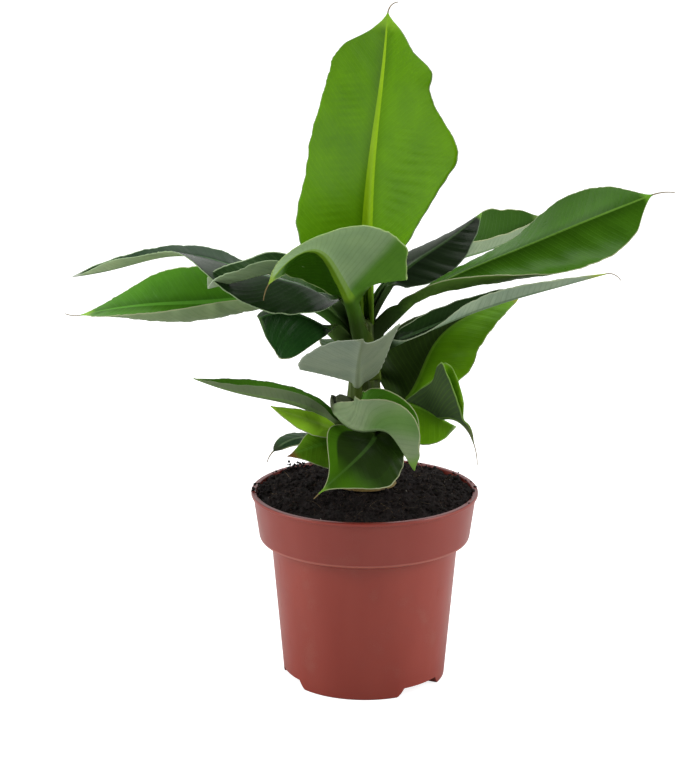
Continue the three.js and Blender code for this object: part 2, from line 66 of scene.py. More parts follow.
POT = dict(
    height=pot_high[2],
    rim=pot_high[0],
    base=43,
    waist=49.5, waist_height=74.5,      # body just under the collar
    collar=55.8, collar_height=77.5,    # collar's lower edge
    lip_proud=1.1, lip_height=2.2,
    wall=1.5, floor=2,
)
POCKET = dict(
    centres=(-46, 78, 202), width=31, draft=11, height=4.8,   # width of the roof, in degrees
    inner=34, roof=1.4, hole=3.2, hole_at=39.3,
)
SOIL = dict(level=100.8, crown=105.4)
STEM = dict(
    foot=stem_low[2], top=stem_high[2], foot_radius=11, flare=3, flare_height=12,
    shoulder=150, shoulder_radius=8.8, crown_radius=5.6,
)
BLADE = dict(
    sheet=0.55, margin=0.35,      # thickness of the half-blade and of its edge
    rib=1.7, rib_width=1.5,       # how far the midrib stands out underneath, and its half-width
    groove=0.5,                   # depth of the channel on top of the midrib
    stalk=3.6, stalk_wall=1.1,    # half-width of the stalk, laid flat, and its wall
    thread=0.35,                  # half-width of the dried thread at the tip
    join=0.12,                    # share of the blade over which the stalk opens out
    sheath=16,                    # how far below its own foot a stalk still lies on the stem
    channel=(18, 4),              # how far a stalk's halves rise from flat, free and on the stem
    wrap=(100, 74),               # how much further they curl, free and on the stem
    waves=2.2, lag=1.7,           # waves along a margin, and how far the right one lags, in radians
    crinkle=0.35, ragged=0.35,    # unevenness between the veins, and of the margin
)

# ---- Leaves ------------------------------------------------------------------------------------
# at: angle round the stem, height of the foot, and its distance from the axis if it stands off.
# heading, climb, roll: direction and twist of the midrib, at even steps from foot to tip. stalk,
# length: lengths of stalk and blade. Of each pair the first value is the half-blade on the left,
# seen along the leaf from its foot with the upper side up. fold: how far the half rises from flat,
# at even steps. curl: how much further it turns up towards its margin. widest: where along the
# blade the half is widest. base, tip: how blunt (low) or pointed (high) its ends are. shape: the
# half-widths themselves, at even steps, where these four would not do. lean: how far the margin is
# drawn forwards, as a share of the width. tail: length and climb of the thread at the tip. wave:
# height of the waves along the margins. sweep: how far the veins slant forwards. look: colours, 0
# to 255, and gloss, each of the upper and the lower side. zones: patches of another colour on the
# upper side, with where they begin and end along the blade; under_zones: the same underneath.
# painted_shadow: a painted shadow of a leaf above on the upper side: how far it keeps from the margin,
# where along the blade it fades out, and its colour.

PLAIN_LEAF = dict(
    roll=0, curl=(0, 0), widest=(0.5, 0.5), base=(0.7, 0.7), tip=(0.8, 0.8), lean=(0, 0),
    tail=(0, 0), wave=0, sweep=0.7, stalk_size=1, rib_size=1,
)
PLAIN_LOOK = dict(
    lower=((116, 144, 104), (112, 140, 100)), rib=(100, 140, 60), stalk=(80, 110, 50),
    gloss=(0.34, 0.5), rib_width=1.3, rib_paint=0.85, shade=0.35, shade_width=7, vein_paint=0.12,
    margin=(176, 182, 140), margin_width=0.28, relief=0.11, zones=(), under_zones=(), painted_shadow=(),
)


def one_leaf(name, slot, look, **settings):
    """One leaf's settings, with the plain ones where it has none of its own."""
    return dict(PLAIN_LEAF, name=name, slot=slot, look=dict(PLAIN_LOOK, **look), **settings)


LEAVES = [
    one_leaf(
        "leaf_top", "bright", at=(75, 196.5, 3), stalk=14, length=140, heading=(88, 66, 42, 30),
        climb=(88, 84, 80, 86), roll=(0, -8, 10), fold=((20, 10, 10), (30, -5, 5)),
        curl=(0, (25, -10, -10)),
        shape=((6, 16, 31, 36.5, 38.5, 39, 39, 40, 41, 41, 40, 39.5, 38, 36, 28, 10.5, 0.5),
               (6, 12, 22, 30, 34.5, 39.5, 44, 49, 53, 51, 44, 36.5, 32.5, 34, 21, 12.5, 0.5)),
        tail=(9, 0), wave=1.2, stalk_size=1.9, sweep=0.85, rib_size=0.8,
        look=dict(
            upper=((78, 126, 0), (88, 138, 0)), lower=((120, 158, 84), (112, 150, 80)),
            rib=(154, 194, 24), stalk=(112, 160, 22), tip=((120, 165, 35), 0.05), gloss=(0.42, 0.55),
            rib_width=3.8, shade=0.3, shade_width=9, vein_paint=0.08, margin=(150, 160, 130),
            margin_width=0.22,
        ),
    ),
    one_leaf(
        "leaf_front_cupped", "grey", at=(255, 192.6, 16), stalk=14, length=84,
        heading=(-128, -124, -122, -130, -150), climb=(76, 52, 42, -10, -52), roll=(33, 35, 40, 50, 70),
        fold=(-10, 8), curl=(-20, 0),
        shape=((17, 32, 36, 38.5, 41, 39.5, 36.5, 34, 31, 26, 19, 10, 0.5),
               (3, 8, 12, 17, 22, 23, 22, 19, 14, 7, 0.5)),
        lean=(0.1, 0), tail=(9, -85), stalk_size=1.7, rib_size=1.2,
        look=dict(
            # Painted shade: the right half's dark lower colour.
            upper=((56, 112, 28), (50, 100, 26)), lower=((104, 154, 56), (44, 82, 8)),
            rib=(130, 170, 40), stalk=(66, 104, 24), tip=((150, 180, 70), 0.05), gloss=(0.34, 0.42),
            rib_width=3, rib_paint=0.9,
            # Painted reflection: the first under-zone, a pale band on the left half. The second is a paler
            # patch near the tip of the right half.
            under_zones=(((0.06, 0.16), (0.94, 1), 1, (164, 192, 146)),
                         ((0.78, 0.9), (0.97, 1), -1, (96, 128, 72))),
            margin=(176, 200, 130), margin_width=0.4,
        ),
    ),
    one_leaf(
        "leaf_left_folded", "dark", at=(222, 197, 6.6), stalk=20, length=72, width=(19, 11),
        heading=(-145, -148, -172, -165), climb=(56, 32, -12, -10), roll=(0, -20, -5),
        fold=((40, 50, 50), (40, 35, 35)), curl=(-15, 10), widest=(0.7, 0.65), base=(0.7, 1.5),
        tip=(0.6, 0.25), wave=1.5,
        look=dict(
            upper=((44, 70, 36), (36, 60, 30)), lower=((146, 168, 130), (130, 156, 116)),
            rib=(120, 150, 90), stalk=(96, 128, 60), tip=((176, 190, 164), 0.06), gloss=(0.3, 0.45),
            margin=(170, 190, 150), margin_width=0.4,
        ),
    ),
    one_leaf(
        "leaf_left_long", "dark", at=(160, 189.8, 8.8), stalk=8, length=153, width=(34, 15),
        heading=(201, 188, 162, 172, 174), climb=(62, 17, 13, -16, -9), roll=(10, -5, -5),
        fold=((-20, -25, 15, 25, 80), (0, -10, 0, 20, 55)), widest=(0.4, 0.42), base=(0.5, 0.6),
        tip=(1.5, 0.8), wave=0.5,
        look=dict(
            upper=((22, 40, 18), (28, 52, 30)), lower=((168, 188, 146), (160, 180, 138)),
            rib=(60, 96, 52), stalk=(70, 100, 48), tip=((176, 184, 168), 0.03), gloss=(0.2, 0.5),
            relief=0.06, margin=(160, 184, 140), margin_width=0.4,
        ),
    ),
    one_leaf(
        "leaf_left_low", "bright", at=(172, 184), stalk=30, length=123, heading=(163, 170, 167, 171),
        climb=(49, -3, -5, -14), roll=(10, -12, 15), fold=((-70, -65, -55, -15), (40, 42, 42, 25)),
        curl=((165, 170, 110, -10), 0),
        shape=((0, 12, 19, 24, 27.5, 29, 27.5, 24.5, 19, 12, 0.5),
               (0, 10, 16, 19.5, 21, 21.5, 21.5, 20, 15, 9, 0.5)),
        tail=(9, 20),
        look=dict(
            upper=((66, 116, 22), (62, 112, 20)), lower=((134, 154, 116), (130, 150, 112)),
            rib=(90, 150, 50), stalk=(70, 110, 40), tip=((120, 165, 40), 0.05),
        ),
    ),
    one_leaf(
        "leaf_left_drooping", "dark", at=(200, 179), stalk=13, length=46, width=(26, 11),
        heading=(197, 205, 207, 211), climb=(54, 34, 14, -20), roll=(0, 5, 0),
        fold=((-45, -70, -80), 0), curl=(10, 0), widest=(0.5, 0.55), base=(0.9, 0.8), tip=(0.4, 0.4),
        lean=(0.2, 0), stalk_size=1.5,
        look=dict(
            upper=((30, 64, 26), (34, 66, 30)), lower=((120, 146, 96), (120, 146, 96)),
            rib=(70, 110, 60), stalk=(96, 128, 60), tip=((80, 110, 60), 0.04), gloss=(0.24, 0.5),
        ),
    ),
    one_leaf(
        "leaf_front_grey", "grey", at=(247, 168), stalk=20, length=86, heading=(-91, -90, -85),
        climb=(-11, 14, 28, 33, 35), roll=(-45, -14, -14), fold=((40, 40, 40, 38, 12), (-10, -6, 0)),
        curl=(20, 0),
        shape=((0, 9, 13, 16, 19, 21, 24, 25, 15, 4, 0.5),
               (0, 14, 23, 28, 29, 29, 27, 23, 18, 11, 0.5)),
        lean=(0.3, 0.1), stalk_size=1.3,
        look=dict(
            upper=((52, 104, 34), (48, 98, 32)), lower=((142, 156, 136), (138, 150, 134)),
            rib=(112, 126, 96), stalk=(96, 120, 60), tip=((128, 140, 112), 0.04),
            under_zones=(((0, 0.05), (2, 3), 1, (114, 124, 106)),), margin=(150, 158, 140),
        ),
    ),
    one_leaf(
        "leaf_right_rising", "bright", at=(16, 141), stalk=8, length=91, width=(30, 26),
        heading=(12, 34, 14, 10), climb=(30, 63, 28, 12), roll=(22, 34, 20, 10), fold=(0, 0),
        curl=(-5, -5), widest=(0.2, 0.5), base=(0.25, 0.9), tip=(1.8, 0.8), wave=0.5, rib_size=0.6,
        look=dict(
            # Painted shade: the left half's dark upper colour. The zone gives the left half its bright
            # green again towards the tip.
            upper=((44, 62, 26), (116, 174, 22)), lower=((116, 142, 104), (116, 142, 104)),
            rib=(120, 165, 50), stalk=(60, 90, 36), tip=((150, 160, 50), 0.03), gloss=(0.36, 0.5),
            rib_width=0.8, zones=(((0.6, 0.85), (1.1, 1.2), 1, (124, 168, 22)),),
        ),
    ),
    one_leaf(
        "leaf_right_cupped", "dark", at=(-4, 142.1, 12.9), stalk=9, length=53,
        heading=(-43, -43, -47, -47, -42, -30, -33), climb=(20, 12, -2, 11, 10, -37, -67),
        fold=(78, 75), curl=(25, 10),
        shape=((3, 10, 18, 24, 28, 29, 28, 25, 14, 3.4, 2.8, 1.6, 0.4),
               (3, 10, 17, 23, 27, 29, 29, 21, 10, 3.4, 2.8, 1.4, 0.4)),
        lean=(0.45, 0.5), tail=(12, -88),
        look=dict(
            # Painted shade: the dark grey-green lower colours stand in for an underside in shade.
            upper=((122, 174, 30), (116, 166, 28)), lower=((74, 92, 66), (68, 86, 58)),
            rib=(110, 140, 70), stalk=(70, 90, 50), tip=((100, 110, 70), 0.18), gloss=(0.36, 0.42),
            margin=(132, 168, 80), margin_width=0.5,
        ),
    ),
    one_leaf(
        "leaf_right_narrow", "dark", at=(-36, 179), stalk=6, length=119, width=(9, 9),
        heading=(-36, 0, -14, -8), climb=(28, 22, 18, 17), roll=(25, 5, -5),
        fold=(45, (20, 20, 55, 60, 50, 40)), curl=(-10, -10), widest=(0.3, 0.4), base=(0.5, 0.3),
        tip=(0.8, 0.7), tail=(9, -60),
        look=dict(
            upper=((36, 60, 26), (18, 29, 16)), lower=((156, 176, 152), (150, 170, 148)),
            rib=(80, 110, 70), stalk=(50, 74, 36), tip=((160, 180, 70), 0.07), gloss=(0.26, 0.4),
            margin=(170, 184, 150), margin_width=0.4,
        ),
    ),
    one_leaf(
        "leaf_right_broad", "dark", at=(5, 189), stalk=8, length=149, heading=(9, 2, 4, 7),
        climb=(45, 24, 22, 20), roll=(-5, 0, 12), fold=((5, 5, 35), (-40, -80, -75, -50)),
        curl=(-5, (150, 150, 80, 0)),
        shape=((0, 5, 11, 16.5, 20, 21.5, 27, 28, 23, 14, 0.5),
               (0, 11.5, 19, 25, 29, 31, 31, 28, 24, 16, 0.5)),
        tail=(13, -10), stalk_size=1.5,
        look=dict(
            upper=((54, 98, 8), (50, 90, 8)), lower=((114, 140, 90), (86, 120, 50)), rib=(104, 146, 54),
            stalk=(50, 78, 28), tip=((100, 150, 40), 0.03), gloss=(0.3, 0.45), vein_paint=0.08,
            rib_width=0.8,
        ),
    ),
    one_leaf(
        "leaf_back_right_near", "dark", at=(56, 195.2), stalk=15, length=72, width=(13, 16.5),
        heading=(45, 34, 32), climb=(54, 24, 33), roll=(12, -4, -20), fold=(10, (-52, -60, -55)),
        curl=(-10, 20), widest=(0.4, 0.45), base=(0.7, 0.8), tip=(0.85, 0.9),
        look=dict(
            upper=((24, 38, 18), (22, 34, 18)), lower=((106, 134, 98), (104, 132, 98)),
            rib=(50, 74, 36), stalk=(56, 80, 36), tip=((110, 150, 60), 0.05), gloss=(0.24, 0.45),
            relief=0.05, margin=(110, 130, 100),
        ),
    ),
    one_leaf(
        "leaf_back_right_far", "dark", at=(85, 189.3, 11.3), stalk=31, length=108,
        heading=(60, 46, 28, 18), climb=(50, 8, 9, 37), roll=(0, 5, 0), fold=(48, 70), curl=(10, 0),
        shape=((0, 4, 6, 7, 9, 12, 18, 22, 18, 12, 0.5), (0, 5, 7, 9, 9, 9, 8, 7, 5, 3, 0.5)),
        lean=(0.2, 0),
        look=dict(
            upper=((54, 88, 30), (70, 106, 48)), lower=((150, 168, 142), (150, 168, 142)),
            rib=(90, 130, 70), stalk=(60, 90, 40), tip=((120, 150, 80), 0.05), gloss=(0.3, 0.45),
        ),
    ),
    one_leaf(
        "leaf_low_left_long", "dark", at=(217, 134), stalk=6, length=82, width=(6, 12),
        heading=(196, 190, 182), climb=(46, 13, 22), roll=(0, 10, -10), fold=(78, 42), curl=(5, 0),
        widest=(0.42, 0.45), base=(0.7, 0.35), tip=(0.9, 1.05),
        look=dict(
            upper=((66, 116, 28), (70, 120, 26)), lower=((112, 128, 96), (100, 116, 84)),
            rib=(110, 140, 80), stalk=(84, 110, 50), tip=((120, 150, 80), 0.05), gloss=(0.34, 0.45),
            margin=(120, 140, 96),
        ),
    ),
    one_leaf(
        "leaf_low_left_short", "bright", at=(239, 131.9, 14.6), stalk=5, length=43, width=(10, 7),
        heading=(202, 194, 191), climb=(42, 21, 26), fold=(-28, 30), curl=(-10, 0), widest=(0.42, 0.4),
        tip=(1, 1),
        look=dict(
            upper=((156, 208, 50), (148, 200, 46)), lower=((130, 170, 80), (120, 160, 74)),
            rib=(130, 170, 60), stalk=(96, 140, 40), tip=((150, 190, 50), 0.08), gloss=(0.4, 0.5),
        ),
    ),
    one_leaf(
        "leaf_low_left_dark", "dark", at=(206, 127), stalk=3, length=39, width=(6, 9),
        heading=(194, 202, 214), climb=(29, 6, -32), roll=(0, 12, -6), fold=(-27, 11), base=(0.6, 0.6),
        tip=(0.7, 0.7), tail=(7, -75),
        look=dict(
            upper=((50, 78, 52), (62, 92, 60)), lower=((100, 124, 98), (96, 118, 94)),
            rib=(110, 136, 96), stalk=(70, 90, 50), tip=((60, 70, 50), 0.12),
        ),
    ),
    one_leaf(
        "leaf_low_left_brown", "dark", at=(236, 124.7, 14.3), stalk=3, length=36, width=(14, 10),
        heading=(204, 211, 204), climb=(50, -4, -14), roll=(0, -15, 20), fold=(-40, 24),
        widest=(0.4, 0.35), base=(0.6, 0.6), tip=(1.05, 1.25),
        look=dict(
            upper=((100, 146, 30), (96, 140, 30)), lower=((110, 146, 80), (104, 140, 74)),
            rib=(90, 140, 44), stalk=(80, 120, 40), tip=((120, 84, 44), 0.14), gloss=(0.4, 0.5),
        ),
    ),
    one_leaf(
        "leaf_low_front_broad", "dark", at=(-58, 136), stalk=5, length=60, width=(22, 22),
        heading=(-95, -120, -152), climb=(0, -15, -36), roll=(-12, -18, -12), fold=(-14, 2),
        curl=(-5, 15), widest=(0.5, 0.34), base=(0.2, 0.5), tip=(1.6, 1.8), tail=(4, -40),
        look=dict(
            upper=((58, 98, 12), (62, 104, 12)), lower=((112, 150, 84), (104, 142, 80)),
            rib=(66, 100, 40), stalk=(60, 90, 30), tip=((110, 150, 50), 0.08), rib_width=1,
            # Painted shadow of the leaf above, over the middle of the upper side.
            painted_shadow=((5.5, 7), (0.55, 0.8), (28, 41, 15)),
        ),
    ),
    one_leaf(
        "leaf_low_front_saddle", "grey", at=(229, 153, 24.4), stalk=1, length=61,
        heading=(-79, -37, -33, -20, -12, -6, 0), climb=(-36, -37, -3, 9, -49, -60, -59), fold=(80, 72),
        curl=(0, 10),
        shape=((2, 8, 14, 18, 20, 20, 21, 19, 16, 12, 9, 6, 0.5),
               (2, 11, 16, 18, 19, 17.5, 17, 18, 16, 13, 9, 6, 0.5)),
        look=dict(
            upper=((70, 124, 22), (66, 118, 20)), lower=((140, 158, 124), (136, 154, 120)),
            rib=(124, 148, 104), stalk=(130, 140, 110), tip=((120, 160, 70), 0.1), gloss=(0.4, 0.42),
            under_zones=(((0.3, 0.5), (0.52, 0.74), 0, (104, 140, 78)),
                         ((0.86, 1), (1.2, 1.3), 0, (112, 132, 92))),
        ),
    ),
    one_leaf(
        "leaf_low_right_curled", "bright", at=(-33, 148.7, 11.2), stalk=6, length=41, width=(6, 21),
        heading=(-44, -32, -36, -30), climb=(30, 0, -20, -16), roll=(10, -10, -18), fold=(0, -60),
        curl=(-10, 0), widest=(0.46, 0.5), base=(0.46, 0.6), tip=(0.7, 0.4),
        look=dict(
            upper=((114, 172, 16), (110, 166, 16)), lower=((176, 196, 160), (160, 186, 140)),
            rib=(120, 170, 60), stalk=(90, 130, 44), tip=((150, 180, 110), 0.04), gloss=(0.4, 0.5),
        ),
    ),
    one_leaf(
        "leaf_back_high", "dark", at=(114, 187), stalk=14, length=84, width=(20, 20),
        heading=(100, 98, 95), climb=(62, 30, 0, -22), fold=((15, 5), (15, 5)), tail=(6, -60), wave=0.8,
        look=dict(
            upper=((42, 78, 18), (40, 74, 18)), tip=((120, 150, 60), 0.05), gloss=(0.28, 0.5),
        ),
    ),
    one_leaf(
        "leaf_back_left", "dark", at=(143, 182), stalk=16, length=88, width=(18, 18),
        heading=(134, 136, 140), climb=(52, 18, 2, -12), fold=((15, 5), (15, 5)), tail=(6, -60),
        wave=0.8,
        look=dict(
            upper=((40, 74, 18), (38, 72, 18)), tip=((120, 150, 60), 0.05), gloss=(0.28, 0.5),
        ),
    ),
    one_leaf(
        "leaf_back_right_low", "dark", at=(100, 151), stalk=12, length=62, width=(16, 16),
        heading=(100, 100, 100), climb=(46, 20, 0, -15), fold=((15, 5), (15, 5)), tail=(5, -60),
        wave=0.6,
        look=dict(
            upper=((44, 80, 18), (42, 78, 18)), tip=((120, 120, 60), 0.06), gloss=(0.3, 0.5),
        ),
    ),
    one_leaf(
        "leaf_back_low", "dark", at=(96, 128), stalk=6, length=38, width=(10, 10), heading=(92, 95, 98),
        climb=(36, 10, -15), fold=((15, 5), (15, 5)), tail=(4, -60), wave=0.4,
        look=dict(
            upper=((60, 102, 18), (58, 98, 18)), lower=((116, 146, 92), (112, 142, 90)),
            tip=((110, 90, 50), 0.12), gloss=(0.36, 0.5),
        ),
    ),
]

# ---- Curves and small helpers ------------------------------------------------------------------

def along(values, t):
    """A smooth curve through evenly spaced values, read at t from 0 to 1."""
    values = np.atleast_1d(np.asarray(values, float))
    t = np.clip(np.asarray(t, float), 0, 1)
    if len(values) == 1:
        return np.full_like(t, values[0])
    place = t * (len(values) - 1)
    i = np.minimum(place.astype(int), len(values) - 2)
    f = place - i
    a, b, c, d = (values[np.clip(i + k, 0, len(values) - 1)] for k in (-1, 0, 1, 2))
    return 0.5 * (2 * b + (c - a) * f + (2 * a - 5 * b + 4 * c - d) * f ** 2
                  + (3 * b - a - 3 * c + d) * f ** 3)


def smooth(x):
    """A soft step from 0 to 1."""
    x = np.clip(x, 0, 1)
    return x * x * (3 - 2 * x)


def between(pair, share):
    """From the first of a pair to the second as the share goes from 0 to 1."""
    return pair[0] * (1 - share) + pair[1] * share


def unit(v):
    return v / np.maximum(np.linalg.norm(v, axis=-1, keepdims=True), 1e-9)


def stem_radius(height):
    """The bare stem's radius: one taper up to the shoulder and another above it."""
    heights = (STEM["foot"], STEM["shoulder"], STEM["top"])
    radii = (STEM["foot_radius"], STEM["shoulder_radius"], STEM["crown_radius"])
    return np.interp(height, heights, radii)


def outward(angle):
    """The level direction at an angle round the stem."""
    return np.array([math.cos(math.radians(angle)), math.sin(math.radians(angle)), 0.0])


def ripple(seed, x, waves, longest):
    """A smooth uneven line: a few sine waves of random length and start, about -1 to 1."""
    rng = np.random.default_rng(seed)
    lengths = longest / rng.uniform(1, 1 + waves, waves)
    starts = rng.uniform(0, 2 * math.pi, waves)
    total = sum(np.sin(2 * math.pi * x / n + s) for n, s in zip(lengths, starts))
    return total / math.sqrt(waves) / 1.4


def add_object(name, data):
    made = bpy.data.objects.new(name, data)
    bpy.context.scene.collection.objects.link(made)
    return made


def mesh_object(name, points, faces, values=None, smooth_angle=None):
    """A mesh in metres from points in millimetres, with named numbers on its points."""
    mesh = bpy.data.meshes.new(name)
    mesh.from_pydata((np.asarray(points) * MM).tolist(), [], [tuple(int(i) for i in f) for f in faces])
    for key, numbers in (values or {}).items():
        mesh.attributes.new(key, "FLOAT", "POINT").data.foreach_set(
            "value", np.asarray(numbers, np.float32).ravel())
    mesh.validate()
    mesh.polygons.foreach_set("use_smooth", [True] * len(mesh.polygons))
    if smooth_angle:
        mesh.set_sharp_from_angle(angle=math.radians(smooth_angle))
    mesh.update()
    return add_object(name, mesh)


def loop_faces(rings, count):
    """Quads that join rings of points, ring after ring."""
    faces = []
    for row in range(rings - 1):
        below, above = row * count, (row + 1) * count
        for i in range(count):
            j = (i + 1) % count
            faces.append((below + i, below + j, above + j, above + i))
    return faces


def fan(centre, ring, sides, down=False):
    """Triangles from a centre point to the ring of points that starts at a given one."""
    spokes = [(centre, ring + i, ring + (i + 1) % sides) for i in range(sides)]
    return [(c, b, a) for c, a, b in spokes] if down else spokes


def finish_piece(piece, node, material):
    """Gives a piece its material and puts it in the place of its CAD node."""
    piece.data.materials.clear()
    piece.data.materials.append(material)
    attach(piece, "root")
    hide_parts(node)


def loose_piece(piece):
    """Attaches a piece that stands for no CAD node of its own to the root body."""
    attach(piece, "root")


# ---- Leaf shape --------------------------------------------------------------------------------

def outline(place, widest, base, tip):
    """Share of the full half-width at a place along the blade."""
    place = np.clip(place, 0, 1)
    rising = np.sin(math.pi / 2 * np.clip(place / widest, 0, 1)) ** base
    falling = np.sin(math.pi / 2 * np.clip((1 - place) / (1 - widest), 0, 1)) ** tip
    return np.where(place < widest, rising, falling)


def half_width(leaf, half, place):
    """Half-width of one side at a place along the blade, in millimetres."""
    if "shape" in leaf:
        return np.maximum(along(leaf["shape"][half], place), 0)
    widest, base, tip = (leaf[key][half] for key in ("widest", "base", "tip"))
    return leaf["width"][half] * outline(place, widest, base, tip)


def leaf_foot(leaf):
    """Where a leaf's stalk leaves the stem, with its angle and height."""
    angle, height, *reach = leaf["at"]
    radius = reach[0] if reach else float(stem_radius(height)) + 2.2
    return radius * outward(angle) + np.array([0, 0, height]), angle, height


def leaf_line(leaf, spacing):
    """The midrib from the foot of the stalk to the end of the tip's thread, with its frames.

    Returns distances along the blade's own line (negative inside the sheath), points, and the
    directions forward, to the left and out of the upper side.
    """
    foot, angle, height = leaf_foot(leaf)
    body = leaf["stalk"] + leaf["length"]
    tail_length, tail_climb = leaf["tail"]
    rows = max(int(round(body / spacing)), 24)
    marks = np.linspace(0, body, rows + 1)
    if tail_length:
        marks = np.append(marks, body + tail_length * np.linspace(0.1, 1, 10))

    def forward(distance):
        t = np.minimum(distance / body, 1)
        past = np.clip((distance - body) / max(tail_length, 1), 0, 1)
        heading = np.radians(along(leaf["heading"], t))
        climb = np.radians(between((along(leaf["climb"], t), tail_climb), past))
        return heading, np.stack([np.cos(climb) * np.cos(heading),
                                  np.cos(climb) * np.sin(heading), np.sin(climb)], -1)

    fine = np.concatenate([[0]] + [np.linspace(a, b, 5)[1:] for a, b in zip(marks[:-1], marks[1:])])
    ways = forward(fine)[1]
    steps = (ways[1:] + ways[:-1]) / 2 * np.diff(fine)[:, None]
    points = (foot + np.concatenate([[np.zeros(3)], np.cumsum(steps, 0)]))[::4]
    heading, ahead = forward(marks)
    level = np.stack([-np.sin(heading), np.cos(heading), 0 * heading], -1)
    over = np.cross(ahead, level)
    roll = np.radians(along(leaf["roll"], marks / body))[:, None]
    left = level * np.cos(roll) + over * np.sin(roll)
    up = over * np.cos(roll) - level * np.sin(roll)

    # The sheath: the stalk's foot bends down and lies against the stem.
    root_height = max(height - BLADE["sheath"], STEM["foot"] + 3)
    root = outward(angle) * (float(stem_radius(root_height)) + 0.1) + np.array([0, 0, root_height])
    s = np.linspace(0, 1, 13)[:-1, None]
    pull = np.linalg.norm(foot - root) * 1.1
    start = np.array([0, 0, 1.0]) * pull
    end = ahead[0] * pull
    sheath = ((2 * s ** 3 - 3 * s ** 2 + 1) * root + (s ** 3 - 2 * s ** 2 + s) * start
              + (3 * s ** 2 - 2 * s ** 3) * foot + (s ** 3 - s ** 2) * end)
    sheath_ahead = unit((6 * s ** 2 - 6 * s) * root + (3 * s ** 2 - 4 * s + 1) * start
                        + (6 * s - 6 * s ** 2) * foot + (3 * s ** 2 - 2 * s) * end)
    root_left = np.array([-outward(angle)[1], outward(angle)[0], 0])
    sheath_left = unit(between((root_left, left[0]), s))
    sheath_left = unit(sheath_left - sheath_ahead * (sheath_left * sheath_ahead).sum(-1, keepdims=True))
    sheath_up = np.cross(sheath_ahead, sheath_left)
    lengths = np.linalg.norm(np.diff(np.vstack([sheath, foot]), axis=0), axis=1)
    before = -np.cumsum(lengths[::-1])[::-1]
    return (np.concatenate([before, marks]), np.vstack([sheath, points]),
            np.vstack([sheath_ahead, ahead]), np.vstack([sheath_left, left]),
            np.vstack([sheath_up, up]))


# Where the points of a half-blade lie, from the midrib (0) to the margin (1).
ACROSS = np.array([0, 0.03, 0.065, 0.11, 0.17, 0.25, 0.34, 0.44, 0.54, 0.64, 0.74, 0.83, 0.905, 0.96, 1])


